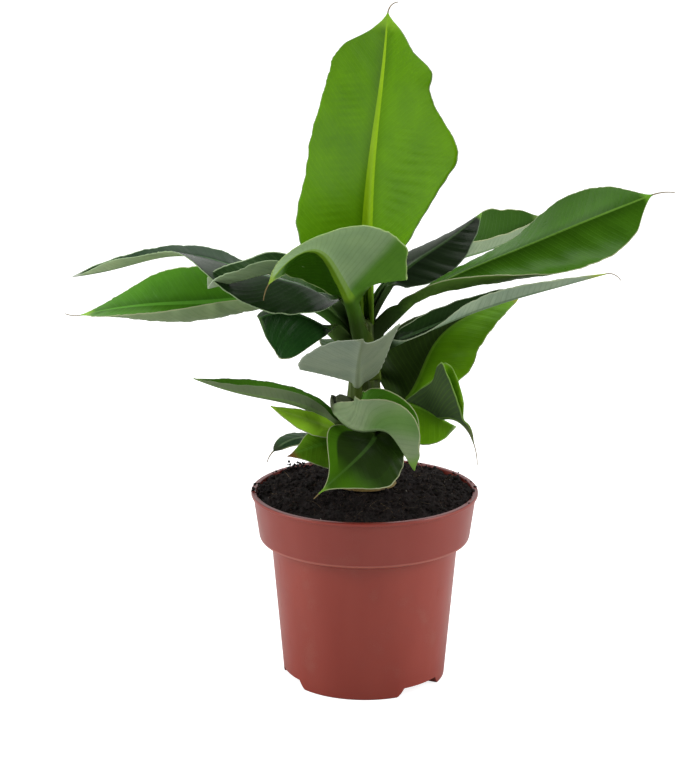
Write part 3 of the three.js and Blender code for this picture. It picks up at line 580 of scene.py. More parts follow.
def leaf_mesh(leaf, seed):
    """One leaf as a thin closed sheet: sheath, channelled stalk, blade with its midrib, thread."""
    distance, spine, ahead, left, up = leaf_line(leaf, spacing=1.25)
    body = leaf["stalk"] + leaf["length"]
    place = np.clip((distance - leaf["stalk"]) / leaf["length"], 0, 1)
    opened = smooth(place / BLADE["join"])
    wrapped = smooth(-distance / max(-distance[0], 1))          # 1 where the sheath lies on the stem
    past = np.clip((distance - body) / max(leaf["tail"][0], 1), 0, 1)
    on_blade = distance <= body + 1e-6
    size = leaf["stalk_size"]
    stem_here = float(stem_radius(leaf["at"][1] - 12))
    stalk_width = between((BLADE["stalk"] * size, stem_here * 1.25), wrapped)
    channel = between(BLADE["channel"], wrapped)
    wrap_curl = between(BLADE["wrap"], wrapped)
    thread = BLADE["thread"] * (1 - 0.6 * past)
    end_taper = np.clip((body - distance) / 5, 0, 1)
    columns = len(ACROSS) - 1

    halves = {}
    for half, sign in ((0, 1), (1, -1)):
        full = half_width(leaf, half, place)
        profile = full / full.max()
        wide = np.maximum(full * on_blade * (place > 0), stalk_width * end_taper * (1 - opened))
        wide = np.where(on_blade, np.maximum(wide, thread), thread)
        fold = np.radians(between((channel, along(leaf["fold"][half], place)), opened))
        curl = np.radians(between((wrap_curl, along(leaf["curl"][half], place)), opened))
        phase = 2 * math.pi * BLADE["waves"] * place + (0 if sign > 0 else BLADE["lag"])
        wave = leaf["wave"] * np.sin(phase) * opened * profile
        lean = leaf["lean"][half]
        ragged = ripple(seed * 7 + half, distance, waves=3, longest=34) * BLADE["ragged"] * opened
        edge_noise = ragged * np.minimum(profile * 2, 1)

        edge = spine.copy()
        rows = [(spine.copy(), up.copy(), np.zeros_like(wide))]
        for k in range(columns):
            mid = (ACROSS[k] + ACROSS[k + 1]) / 2
            turn = (fold + curl * mid)[:, None]
            step = ((wide + edge_noise) * (ACROSS[k + 1] - ACROSS[k]))[:, None]
            edge = edge + (sign * left * np.cos(turn) + up * np.sin(turn)) * step
            out = up * np.cos(turn) - sign * left * np.sin(turn)
            share = ACROSS[k + 1]
            vein = distance - leaf["sweep"] * wide * share
            crinkle = BLADE["crinkle"] * ripple(seed * 13 + half, vein, waves=6, longest=24)
            lift = (wave * share ** 2 + crinkle * opened * on_blade
                    * np.sin(math.pi * min(share, 0.75)) * np.minimum(wide / 12, 1))
            forward = ahead * (lean * wide * share * opened)[:, None]
            rows.append((edge + out * lift[:, None] + forward, out, wide * share))
        halves[sign] = (rows, wide)

    right_rows, right_wide = halves[-1]
    left_rows, left_wide = halves[1]
    strip = right_rows[:0:-1] + left_rows
    signs = np.array([-1] * columns + [0] + [1] * columns)
    shares = np.concatenate([ACROSS[:0:-1], ACROSS])
    centre = np.stack([r[0] for r in strip], 1)
    out = np.stack([r[1] for r in strip], 1)
    spread = np.stack([r[2] for r in strip], 1)
    wide = np.where(signs[None, :] < 0, right_wide[:, None], left_wide[:, None])

    # Thickness: a rib underneath and a channel on top along the middle, fading towards the tip.
    fade = ((1 - place) ** 0.8 * (1 - 0.75 * past))[:, None]
    near = np.exp(-(spread / (BLADE["rib_width"] * size)) ** 2) * (distance <= body)[:, None]
    thin = BLADE["sheet"] + (BLADE["margin"] - BLADE["sheet"]) * shares[None, :] ** 4
    wall = between((BLADE["stalk_wall"] * size, thin), opened[:, None])
    wall = wall * (1 - 0.5 * wrapped[:, None] * shares[None, :])
    wall = np.where((distance > body)[:, None], BLADE["thread"], wall)
    rib = BLADE["rib"] * size * leaf["rib_size"] * (0.25 + 0.75 * fade)
    top = centre + out * (wall / 2 - BLADE["groove"] * size * near * fade)[..., None]
    under = centre - out * (wall / 2 + rib * near * fade)[..., None]

    rows_count, across_count = centre.shape[:2]
    ring = np.concatenate([under, top[:, ::-1]], 1)
    across_all = np.concatenate([signs * shares, (signs * shares)[::-1]])

    def both(grid):
        return np.concatenate([grid, grid[:, ::-1]], 1)

    def by_row(numbers):
        return both(np.broadcast_to(numbers[:, None], spread.shape))

    values = {
        "vein": both(distance[:, None] - leaf["sweep"] * spread),
        "place": by_row(place),
        "half": np.broadcast_to(across_all, ring.shape[:2]),
        "spine_mm": both(spread),
        "margin_mm": both(wide - spread),
        "underside": np.concatenate([np.ones_like(spread), np.zeros_like(spread)], 1),
        "stalk": by_row(1 - opened),
        "thread": by_row((past > 0).astype(float)),
        "wrapped": by_row(wrapped),
    }
    count = ring.shape[1]
    faces = loop_faces(rows_count, count)
    for row, flip in ((0, True), (rows_count - 1, False)):
        for i in range(across_count - 1):
            quad = (row * count + i, row * count + i + 1,
                    row * count + count - 2 - i, row * count + count - 1 - i)
            faces.append(quad[::-1] if flip else quad)
    return mesh_object(leaf["name"] + "_leaf", ring.reshape(-1, 3), faces, values)


# ---- Shader helpers ----------------------------------------------------------------------------

def colour(red, green, blue):
    """A display colour, 0 to 255, as the linear colour that shaders use."""
    return tuple((v / 255 / 12.92 if v <= 10 else ((v / 255 + 0.055) / 1.055) ** 2.4)
                 for v in (red, green, blue)) + (1.0,)


class Tree:
    """Adds nodes to a node tree; an input may be another node's socket or a plain value."""

    def __init__(self, tree):
        self.tree = tree

    def add(self, kind, inputs=(), **settings):
        node = self.tree.nodes.new(kind)
        for key, value in settings.items():
            setattr(node, key, value)
        for key, value in dict(inputs).items():
            self.put(node.inputs[key], value)
        return node

    def put(self, socket, value):
        if isinstance(value, bpy.types.NodeSocket):
            self.tree.links.new(value, socket)
        else:
            socket.default_value = value

    def math(self, operation, a, b=None, c=None, clamp=False):
        values = {i: v for i, v in enumerate((a, b, c)) if v is not None}
        return self.add("ShaderNodeMath", values, operation=operation, use_clamp=clamp).outputs[0]

    def plus(self, a, b, clamp=False):
        return self.math("ADD", a, b, clamp=clamp)

    def minus(self, a, b):
        return self.math("SUBTRACT", a, b)

    def times(self, a, b):
        return self.math("MULTIPLY", a, b)

    def vector(self, operation, a, b):
        return self.add("ShaderNodeVectorMath", {0: a, 1: b}, operation=operation).outputs[0]

    def position(self):
        return self.add("ShaderNodeTexCoord").outputs["Object"]

    def spread(self, value, low, high, to_low=0.0, to_high=1.0, soft=True):
        """Maps low..high onto to_low..to_high, held at the ends."""
        node = self.add("ShaderNodeMapRange",
                        {"Value": value, "From Min": low, "From Max": high,
                         "To Min": to_low, "To Max": to_high},
                        interpolation_type="SMOOTHSTEP" if soft else "LINEAR")
        return node.outputs["Result"]

    def mix(self, share, a, b, blend="MIX"):
        node = self.add("ShaderNodeMix", data_type="RGBA", blend_type=blend)
        for key, value in (("Factor_Float", share), ("A_Color", a), ("B_Color", b)):
            self.put(next(s for s in node.inputs if s.identifier == key), value)
        return next(s for s in node.outputs if s.identifier == "Result_Color")

    def number(self, name):
        return self.add("ShaderNodeAttribute", attribute_name=name).outputs["Fac"]

    def noise(self, vector, scale, detail=2.0, roughness=0.5):
        inputs = {"Vector": vector, "Scale": scale, "Detail": detail, "Roughness": roughness}
        return self.add("ShaderNodeTexNoise", inputs).outputs["Fac"]


def shader_group(name, inputs, outputs):
    """An empty shader group with named inputs (name, kind, value) and outputs (name, kind)."""
    tree = bpy.data.node_groups.new(name, "ShaderNodeTree")
    for label, kind, value in inputs:
        socket = tree.interface.new_socket(label, in_out="INPUT", socket_type="NodeSocket" + kind)
        if value is not None:
            socket.default_value = value
    for label, kind in outputs:
        tree.interface.new_socket(label, in_out="OUTPUT", socket_type="NodeSocket" + kind)
    return Tree(tree), tree.nodes.new("NodeGroupInput").outputs, tree.nodes.new("NodeGroupOutput")


def make_mottle():
    """Soft cloudy patches and fine grain: a value about 0.5, used by every natural surface."""
    t, given, put = shader_group(
        "Mottle",
        [("Position", "Vector", None), ("Patch Size", "Float", 0.01), ("Grain Size", "Float", 0.001),
         ("Contrast", "Float", 1.0)],
        [("Patches", "Float"), ("Grain", "Float")])
    patches = t.noise(given["Position"], t.math("DIVIDE", 1.0, given["Patch Size"]), 3, 0.55)
    grain = t.noise(given["Position"], t.math("DIVIDE", 1.0, given["Grain Size"]), 2, 0.6)
    for label, value in (("Patches", patches), ("Grain", grain)):
        centred = t.times(t.minus(value, 0.5), given["Contrast"])
        t.put(put.inputs[label], t.plus(centred, 0.5, clamp=True))
    return t.tree


def make_leaf_veins():
    """Parallel veins that leave the midrib: broad ribs, and fine lines between them."""
    t, given, put = shader_group(
        "Leaf Veins",
        [("Along", "Float", 0.0), ("To Margin", "Float", 1.0), ("Spacing", "Float", 3.2),
         ("Fine Spacing", "Float", 0.75), ("Wander", "Float", 0.0)],
        [("Ribs", "Float"), ("Fine", "Float"), ("Height", "Float")])
    bent = t.plus(given["Along"], t.times(given["Wander"], 1.6))

    def lines(spacing, thin):
        turn = t.times(t.math("DIVIDE", bent, spacing), 2 * math.pi)
        crest = t.math("MULTIPLY_ADD", t.math("SINE", turn), 0.5, 0.5)
        return t.math("POWER", crest, thin)

    ribs = lines(given["Spacing"], 7.0)
    fine = lines(given["Fine Spacing"], 2.0)
    clear = t.spread(given["To Margin"], 0.3, 3.0)
    ribs = t.times(ribs, clear)
    height = t.plus(t.times(ribs, 0.7), t.times(fine, 0.3))
    for label, value in (("Ribs", ribs), ("Fine", fine), ("Height", height)):
        t.put(put.inputs[label], value)
    return t.tree


def make_band():
    """A band of given width along an edge, from the distance to that edge."""
    t, given, put = shader_group(
        "Edge Band",
        [("Distance", "Float", 0.0), ("Width", "Float", 1.0), ("Softness", "Float", 0.3)],
        [("Mask", "Float")])
    inner = t.plus(given["Width"], given["Softness"])
    t.put(put.inputs["Mask"], t.spread(given["Distance"], given["Width"], inner, 1.0, 0.0))
    return t.tree


GROUPS = {"mottle": make_mottle(), "veins": make_leaf_veins(), "band": make_band()}


def use(t, group, **values):
    """The outputs of a shader group, with its inputs named in lower case."""
    node = t.add("ShaderNodeGroup", node_tree=GROUPS[group])
    for key, value in values.items():
        t.put(node.inputs[key.replace("_", " ").title()], value)
    return node.outputs


def new_material(name, **fixed):
    """A material with one Principled shader; fixed values are set on its own sockets."""
    material = bpy.data.materials.new(name)
    material.use_nodes = True
    material.node_tree.nodes.clear()
    t = Tree(material.node_tree)
    shader = t.add("ShaderNodeBsdfPrincipled", fixed)
    output = t.add("ShaderNodeOutputMaterial", {"Surface": shader.outputs[0]})
    output.is_active_output = True
    return material, t, shader.inputs


def bump(t, surface, height, distance, strength):
    """Relief of a height in millimetres."""
    node = t.add("ShaderNodeBump", {"Height": height, "Strength": strength, "Distance": distance * MM})
    t.put(surface["Normal"], node.outputs["Normal"])


# ---- Leaf material -----------------------------------------------------------------------------

def leaf_material(leaf, seed):
    """The two sides of one leaf: colours by half and side, midrib, veins, margin, tip and stalk."""
    look = leaf["look"]
    material, t, surface = new_material(leaf["name"] + " surface", **{
        "IOR": 1.33, "Specular IOR Level": 0.1, "Coat Roughness": 0.28})
    names = ("place", "half", "spine_mm", "margin_mm", "underside", "stalk", "thread", "wrapped", "vein")
    place, half, spine, margin, under, stalk, thread, wrapped, vein = (t.number(n) for n in names)
    shifted = t.vector("ADD", t.position(), (seed * 0.37, seed * 0.11, 0.0))
    mottle = use(t, "mottle", position=shifted, patch_size=0.016, grain_size=0.0011, contrast=1.2)
    veins = use(t, "veins", along=vein, to_margin=margin, spacing=3.0, wander=t.noise(shifted, 60.0, 1))
    is_left = t.spread(half, -0.02, 0.02)

    def side_colour(pair):
        return t.mix(is_left, colour(*pair[1]), colour(*pair[0]))

    def painted_zones(face, key):
        """Patches that begin and end along a vein, on one half (1 or -1) or on both (0)."""
        for begins, ends, zone_half, zone_colour in look[key]:
            inside = t.times(t.spread(lane, *begins), t.spread(lane, *ends, 1.0, 0.0))
            if zone_half:
                on_half = is_left if zone_half > 0 else t.minus(1.0, is_left)
                inside = t.times(inside, on_half)
            face = t.mix(inside, face, colour(*zone_colour))
        return face

    lane = t.math("DIVIDE", t.minus(vein, leaf["stalk"]), leaf["length"])
    upper = side_colour(look["upper"])
    lower = painted_zones(side_colour(look["lower"]), "under_zones")

    # Upper side: darker beside the midrib and paler along the veins.
    beside = t.spread(spine, 0.5, look["shade_width"], look["shade"], 0.0)
    dark = t.mix(1.0, upper, colour(96, 110, 84), "MULTIPLY")
    upper = t.mix(beside, upper, dark)
    pale = t.mix(0.5, upper, colour(*look["rib"]))
    upper = t.mix(t.times(veins["Ribs"], look["vein_paint"]), upper, pale)
    upper = t.mix(t.times(veins["Fine"], 0.12), upper, pale)
    upper = painted_zones(upper, "zones")
    # Painted shadow: a dark patch over the upper side, clear of the right half's margin and fading out
    # towards the tip. It stands in for the shadow of a leaf above.
    if look["painted_shadow"]:
        from_margin, towards_tip, painted_shadow_colour = look["painted_shadow"]
        clear = t.mix(is_left, (0, 0, 0, 1), (0.9, 0.9, 0.9, 1))
        inside = t.math("MAXIMUM", t.spread(margin, *from_margin), clear)
        inside = t.times(inside, t.spread(place, *towards_tip, 1.0, 0.0))
        upper = t.mix(t.times(inside, 0.9), upper, colour(*painted_shadow_colour))

    # Underside: a waxy bloom, with the veins showing a little darker.
    lower_dark = t.mix(0.45, lower, upper)
    lower = t.mix(t.times(veins["Ribs"], 0.3), lower, lower_dark)
    lower = t.mix(t.times(veins["Fine"], 0.14), lower, lower_dark)

    face = t.mix(under, upper, lower)
    light = t.mix(1.0, face, (1.28, 1.24, 1.1, 1.0), "MULTIPLY")
    deep = t.mix(1.0, face, (0.74, 0.8, 0.78, 1.0), "MULTIPLY")
    face = t.mix(mottle["Patches"], deep, light)
    speck = t.spread(mottle["Grain"], 0.66, 0.8, 0.0, 0.22)
    face = t.mix(speck, face, deep)

    # Midrib, margin, tip, stalk and thread.
    rib_width = t.spread(place, 0.0, 1.0, look["rib_width"], 0.25, soft=False)
    on_rib = use(t, "band", distance=spine, width=rib_width, softness=0.35)["Mask"]
    rib = t.mix(t.times(mottle["Patches"], 0.5), colour(*look["rib"]), light)
    face = t.mix(t.times(on_rib, look["rib_paint"]), face, rib)
    on_margin = use(t, "band", distance=margin, width=look["margin_width"], softness=0.3)["Mask"]
    on_margin = t.times(on_margin, t.minus(1.0, stalk))
    face = t.mix(t.times(on_margin, 0.75), face, colour(*look["margin"]))
    tip_colour, tip_share = look["tip"]
    cloud = t.minus(mottle["Patches"], 0.5)
    ragged = t.plus(place, t.times(cloud, 0.05))
    on_tip = t.spread(ragged, 1 - tip_share * 1.4, 1 - tip_share * 0.4)
    face = t.mix(on_tip, face, colour(*tip_colour))
    stalk_dark = [v * 0.78 for v in look["stalk"]]
    stalk_paint = t.mix(mottle["Patches"], colour(*stalk_dark), colour(*look["stalk"]))
    # Painted shade: the stalk darkened near its foot, where the crown lies in shadow.
    painted_foot_shade = t.spread(vein, 1.0, 15.0, 0.6, 0.0)
    stalk_paint = t.mix(painted_foot_shade, stalk_paint, colour(30, 34, 16))
    face = t.mix(t.spread(stalk, 0.15, 0.85), face, stalk_paint)
    sheath_paint = t.mix(mottle["Patches"], colour(56, 74, 24), colour(90, 108, 42))
    face = t.mix(t.spread(wrapped, 0.2, 0.9), face, sheath_paint)
    face = t.mix(thread, face, colour(120, 104, 70))
    t.put(surface["Base Color"], face)

    above, below = look["gloss"]
    rough = t.spread(under, 0.0, 1.0, above, below, soft=False)
    rough = t.plus(rough, t.times(cloud, 0.18))
    matt = t.times(t.plus(stalk, thread, clamp=True), 0.12)
    rough = t.plus(rough, matt, clamp=True)
    t.put(surface["Roughness"], rough)
    coat = t.times(t.minus(1.0, under), 0.03)
    t.put(surface["Coat Weight"], coat)
    relief = t.plus(veins["Height"], t.times(mottle["Grain"], 0.35))
    relief = t.times(relief, t.spread(stalk, 0.0, 0.8, 1.0, 0.25))
    bump(t, surface, relief, look["relief"], 0.6)
    return material


# ---- Stem --------------------------------------------------------------------------------------

def sheath_step(leaf, angle, height):
    """1 where a leaf's sheath covers the stem, 0 outside, with a soft edge."""
    _, foot_angle, foot_height = leaf_foot(leaf)
    rise = np.clip((height - STEM["foot"]) / (foot_height - STEM["foot"]), 0, 1)
    half_arc = 175 - 120 * rise ** 1.3
    away = np.abs((angle - foot_angle + 180) % 360 - 180)
    return smooth((half_arc - away) / 9) * smooth((foot_height - 2 - height) / 5)


def stem_mesh():
    """The pseudostem: tapered, flared at its foot, wrapped in overlapping leaf sheaths."""
    rows, sides = 120, 144
    angles = np.arange(sides) * 360 / sides
    heights = np.linspace(STEM["foot"], STEM["top"], rows)
    a, z = np.meshgrid(angles, heights)
    rise = np.clip(1 - (z - STEM["foot"]) / STEM["flare_height"], 0, 1)
    radius = stem_radius(z) + STEM["flare"] * rise ** 2 - 0.9
    cover = np.zeros_like(radius)
    for leaf in sorted(LEAVES, key=lambda item: -item["at"][1]):
        step = sheath_step(leaf, a, z)
        radius += 0.16 * step
        cover += step * (1 + len(leaf["name"]) % 3)
    turn = np.radians(a)
    radius += 0.16 * np.sin(11 * turn + z * 0.03) * np.sin(5 * turn + 1.3)
    dome = np.clip((z - (STEM["top"] - 3)) / 3, 0, 1)
    radius *= np.sqrt(1 - 0.75 * dome ** 2)
    points = np.stack([radius * np.cos(turn), radius * np.sin(turn), z], -1).reshape(-1, 3)
    faces = loop_faces(rows, sides)
    foot_point, top_point = len(points), len(points) + 1
    points = np.vstack([points, [0, 0, STEM["foot"]], [0, 0, STEM["top"]]])
    faces += fan(foot_point, 0, sides, down=True) + fan(top_point, (rows - 1) * sides, sides)
    lift = np.append(z.ravel() - STEM["foot"], [0, STEM["top"] - STEM["foot"]])
    covered = np.append(cover.ravel(), [0, 0])
    around = np.append(np.cos(turn).ravel(), [0, 0])
    return mesh_object("pseudostem_sheaths", points, faces,
                       {"lift": lift, "layers": covered, "around": around}, smooth_angle=60)


def stem_material():
    """Olive-green sheaths with dark and straw-coloured stripes, browner at the foot."""
    material, t, surface = new_material("stem sheaths", **{"IOR": 1.4, "Specular IOR Level": 0.2})
    position = t.position()
    stretched = t.vector("MULTIPLY", position, (1.0, 1.0, 0.09))
    fibres = t.noise(stretched, 620.0, 3, 0.6)
    stripes = t.noise(stretched, 210.0, 2, 0.5)
    mottle = use(t, "mottle", position=position, patch_size=0.012, grain_size=0.0008, contrast=1.1)
    layer = t.math("FRACT", t.times(t.number("layers"), 0.37))
    face = t.mix(layer, colour(62, 80, 26), colour(88, 106, 40))
    face = t.mix(t.spread(stripes, 0.42, 0.62), colour(48, 60, 22), face)
    face = t.mix(t.spread(fibres, 0.6, 0.75, 0.0, 0.4), face, colour(132, 142, 70))
    face = t.mix(t.spread(mottle["Patches"], 0.55, 0.75, 0.0, 0.35), face, colour(50, 54, 28))
    lift = t.plus(t.number("lift"), t.times(stripes, 14.0))
    low = t.spread(lift, 7.0, 26.0, 1.0, 0.0)
    dry = t.mix(fibres, colour(84, 60, 34), colour(150, 122, 74))
    face = t.mix(t.times(low, 0.75), face, dry)
    t.put(surface["Base Color"], face)
    t.put(surface["Roughness"], t.spread(fibres, 0.3, 0.7, 0.42, 0.62))
    relief = t.plus(t.times(fibres, 0.6), t.times(stripes, 0.7))
    bump(t, surface, relief, 0.5, 0.6)
    return material


# ---- Pot ---------------------------------------------------------------------------------------

def rounded(corner, before, after, radius, steps=4):
    """The points of a rounded corner of an outline."""
    corner, before, after = (np.array(p, float) for p in (corner, before, after))
    way_in, way_out = unit(before - corner), unit(after - corner)
    half = math.acos(float(np.clip(way_in @ way_out, -1, 1))) / 2
    reach = min(radius / math.tan(half), 0.45 * np.linalg.norm(before - corner),
                0.45 * np.linalg.norm(after - corner))
    start, end = corner + way_in * reach, corner + way_out * reach
    s = np.linspace(0, 1, steps + 1)[:, None]
    return list((1 - s) ** 2 * start + 2 * s * (1 - s) * corner + s ** 2 * end)


def body_radius(height):
    """The tapered body's outer radius."""
    return POT["base"] + (POT["waist"] - POT["base"]) * height / POT["waist_height"]


def pot_outline():
    """[radius, height, corner radius] down the inside, then up the outside, as a closed loop."""
    wall, high = POT["wall"], POT["height"]
    collar_top = POT["rim"] - POT["lip_proud"]
    ledge = POT["collar_height"]
    corners = [
        (POT["base"], 0, 1.0),
        (POT["waist"], POT["waist_height"], 0.6),
        (POT["collar"] - 0.4, ledge - 0.6, 0.5),
        (POT["collar"] + 0.1, ledge + 0.7, 0.5),
        (collar_top, high - POT["lip_height"], 0.3),
        (POT["rim"], high - POT["lip_height"] + 0.3, 0.5),
        (POT["rim"], high, 0.6),
        (collar_top - wall, high, 0.6),
        (POT["collar"] - wall, ledge + wall, 0.8),
        (POT["waist"] - wall, POT["waist_height"] + wall / 2, 0.8),
        (body_radius(POT["floor"]) - wall, POT["floor"], 1.5),
    ]
    path = [(0.0, 0.0)]
    for i, (r, z, size) in enumerate(corners):
        before = corners[i - 1][:2] if i else (0, 0)
        after = corners[i + 1][:2] if i + 1 < len(corners) else (0, POT["floor"])
        path += [tuple(p) for p in rounded((r, z), before, after, size)]
    return path + [(0.0, POT["floor"])]


def turned_mesh(name, path, sides):
    """A closed solid of revolution; the path starts and ends on the axis."""
    turn = np.arange(sides) * 2 * math.pi / sides
    rings = [[(r * math.cos(a), r * math.sin(a), z) for a in turn] for r, z in path[1:-1]]
    points = [p for ring in rings for p in ring] + [(0, 0, path[0][1]), (0, 0, path[-1][1])]
    faces = loop_faces(len(rings), sides)
    faces += fan(len(points) - 2, 0, sides, down=True)
    faces += fan(len(points) - 1, (len(rings) - 1) * sides, sides)
    return mesh_object(name, points, faces)


def ring_block(name, inner, outer, centre, width, bottom, top, draft=0.0):
    """A block of a ring over an arc, narrowing upwards by the draft, in degrees in all."""
    steps = 16
    points = []
    for height, arc in ((bottom, width), (top, width - draft)):
        for radius in (inner, outer):
            for a in np.radians(np.linspace(centre - arc / 2, centre + arc / 2, steps + 1)):
                points.append((radius * math.cos(a), radius * math.sin(a), height))
    n = steps + 1
    low_in, low_out, high_in, high_out = 0, n, 2 * n, 3 * n
    faces = []
    for i in range(steps):
        faces.append((low_in + i, low_in + i + 1, low_out + i + 1, low_out + i))
        faces.append((high_in + i, high_out + i, high_out + i + 1, high_in + i + 1))
        faces.append((low_out + i, low_out + i + 1, high_out + i + 1, high_out + i))
        faces.append((low_in + i, high_in + i, high_in + i + 1, low_in + i + 1))
    faces.append((low_in, low_out, high_out, high_in))
    faces.append((low_in + steps, high_in + steps, high_out + steps, low_out + steps))
    return mesh_object(name, points, faces)


def drill(name, spot, radius, length):
    """A round cutter with its axis upright."""
    sides = 32
    turn = np.arange(sides) * 2 * math.pi / sides
    x, y, z = spot
    rings = [(x + radius * math.cos(a), y + radius * math.sin(a), z + side * length / 2)
             for side in (-1, 1) for a in turn]
    faces = loop_faces(2, sides) + [tuple(range(sides))[::-1], tuple(range(sides, 2 * sides))]
    return mesh_object(name, rings, faces)


def cut(piece, cutter, operation="DIFFERENCE"):
    """Applies a boolean with another mesh, which is then removed."""
    modifier = piece.modifiers.new("cut", "BOOLEAN")
    modifier.operation = operation
    modifier.solver = "EXACT"
    modifier.object = cutter
    settle(piece)
    bpy.data.objects.remove(cutter)


def settle(piece):
    """Turns a piece with modifiers into a plain mesh."""
    graph = bpy.context.evaluated_depsgraph_get()
    mesh = bpy.data.meshes.new_from_object(piece.evaluated_get(graph))
    piece.modifiers.clear()
    old = piece.data
    piece.data = mesh
    mesh.name = piece.name
    bpy.data.meshes.remove(old)


def pot_mesh():
    """The pot: tapered body, stepped collar, rolled lip, and drainage pockets round its base."""
    pot = turned_mesh("pot_shell", pot_outline(), 160)
    roof_top = POCKET["height"] + POCKET["roof"]
    mouth = POCKET["width"] + POCKET["draft"]
    low = 0.2
    skirt_path = [(0, low), (POT["base"] - 0.6, low), (body_radius(roof_top) - 0.4, roof_top),
                  (0, roof_top)]
    for centre in POCKET["centres"]:
        housing = ring_block("housing", POCKET["inner"] - POCKET["roof"], POT["waist"], centre,
                             mouth + 4, low, roof_top)
        cut(housing, turned_mesh("skirt", skirt_path, 160), "INTERSECT")
        cut(pot, housing, "UNION")
    for centre in POCKET["centres"]:
        cut(pot, ring_block("hollow", POCKET["inner"], POT["waist"] + 5, centre, mouth, -0.02,
                            POCKET["height"], draft=POCKET["draft"]))
        spot = outward(centre) * POCKET["hole_at"] + np.array([0, 0, POCKET["height"] + 1])
        cut(pot, drill("drill", spot, POCKET["hole"], 6))
    pot.data.polygons.foreach_set("use_smooth", [True] * len(pot.data.polygons))
    pot.data.set_sharp_from_angle(angle=math.radians(32))
    return pot


def pot_material():
    """Semi-gloss terracotta-coloured plastic: flow marks, scuffs, dust, painted shade on the collar, a
    painted highlight along the ledge and painted shade on the rim's top.
    """
    material, t, surface = new_material("terracotta plastic", **{
        "IOR": 1.5, "Specular IOR Level": 0.5, "Coat Roughness": 0.12})
    position = t.position()
    across = t.add("ShaderNodeSeparateXYZ", {0: position}).outputs
    height = t.math("DIVIDE", across["Z"], MM)
    mottle = use(t, "mottle", position=position, patch_size=0.02, grain_size=0.0006, contrast=1.0)
    stretched = t.vector("MULTIPLY", position, (1.0, 1.0, 0.25))
    flow = t.noise(stretched, 45.0, 2, 0.5)
    body = t.mix(flow, colour(142, 52, 39), colour(158, 63, 47))
    body = t.mix(t.spread(mottle["Patches"], 0.45, 0.8, 0.0, 0.35), body, colour(136, 48, 38))
    dusty = t.plus(mottle["Patches"], t.times(mottle["Grain"], 0.3))
    body = t.mix(t.spread(dusty, 0.72, 0.95, 0.0, 0.18), body, colour(170, 112, 92))
    ledge = POT["collar_height"]
    # Painted shade: the collar, above the ledge, a little darker than the body.
    collar = t.spread(height, ledge - 1.0, ledge + 1.0, 0.0, 0.35)
    body = t.mix(collar, body, colour(122, 44, 36))
    # Painted highlight: a pale line along the collar's rounded lower edge.
    edge = t.times(t.spread(height, ledge - 0.8, ledge - 0.4, 0.0, 0.4),
                  t.spread(height, ledge + 0.3, ledge + 0.8, 1.0, 0.0))
    body = t.mix(edge, body, colour(198, 122, 104))
    # Painted shade: the top of the rim darkened.
    rim = t.spread(height, POT["height"] - 0.5, POT["height"] - 0.1, 0.0, 0.75)
    body = t.mix(rim, body, colour(92, 16, 14))
    t.put(surface["Base Color"], body)
    rough = t.plus(0.27, t.times(mottle["Patches"], 0.16))
    scuffs = t.spread(t.noise(stretched, 260.0, 3, 0.7), 0.62, 0.8, 0.0, 0.2)
    t.put(surface["Roughness"], t.plus(rough, scuffs))
    t.put(surface["Coat Weight"], t.spread(flow, 0.3, 0.7, 0.0, 0.12))
    bump(t, surface, t.plus(flow, t.times(mottle["Grain"], 0.12)), 0.35, 0.35)
    return material


# ---- Soil --------------------------------------------------------------------------------------

def soil_height(x, y):
    """The height of the soil's uneven top."""
    r = math.hypot(x, y)
    rise = min(max((r - 12) / 42, 0), 1) ** 0.8
    base = SOIL["crown"] + (SOIL["level"] - SOIL["crown"]) * rise
    for across, high, layer in ((6, 1.7, 3.1), (2.6, 1.2, 8.7), (1.1, 0.3, 1.9)):
        base += noise.noise(Vector((x / across, y / across, layer))) * high
    return base


def soil_mesh():
    """The root ball: an uneven crumbly top, and sides that follow the pot's inside."""
    sides, rings = 220, 52
    inside = POT["rim"] - POT["lip_proud"] - POT["wall"] - 0.9
    turn = np.arange(sides) * 2 * math.pi / sides
    points = [(0.0, 0.0, soil_height(0, 0))]
    for k in range(1, rings + 1):
        r = inside * (k / rings) ** 0.85
        for a in turn:
            x, y = r * math.cos(a), r * math.sin(a)
            points.append((x, y, soil_height(x, y)))
    bottom = POCKET["height"] + POCKET["roof"] + 0.4
    wall = POT["wall"] + 0.5
    skirt = [(POT["collar"] - wall, POT["collar_height"] + 2.4),
             (POT["waist"] - wall, POT["waist_height"] + 1.2), (body_radius(bottom) - wall, bottom)]
    for r, z in skirt:
        points += [(r * math.cos(a), r * math.sin(a), z) for a in turn]
    points.append((0.0, 0.0, bottom))
    faces = fan(0, 1, sides)
    for row in range(rings + len(skirt) - 1):
        low, high = 1 + row * sides, 1 + (row + 1) * sides
        for i in range(sides):
            j = (i + 1) % sides
            faces.append((low + i, high + i, high + j, low + j))
    faces += fan(len(points) - 1, 1 + (rings + len(skirt) - 1) * sides, sides, down=True)
    return mesh_object("soil_ball", points, faces)


def plain_earth(name, dark, light, scale, rough=0.92):
    """A matt material that wanders between two colours."""
    material, t, surface = new_material(name, **{"IOR": 1.4, "Specular IOR Level": 0.25})
    mottle = use(t, "mottle", position=t.position(), patch_size=scale, grain_size=0.0005, contrast=1.6)
    paint = t.mix(mottle["Patches"], colour(*dark), colour(*light))
    grain = t.spread(mottle["Grain"], 0.5, 0.8, 0.0, 0.4)
    paint = t.mix(grain, paint, colour(*[v * 0.55 for v in dark]))
    t.put(surface["Base Color"], paint)
    t.put(surface["Roughness"], t.spread(mottle["Grain"], 0.2, 0.8, rough - 0.12, rough))
    bump(t, surface, mottle["Grain"], 0.5, 0.8)
    return material


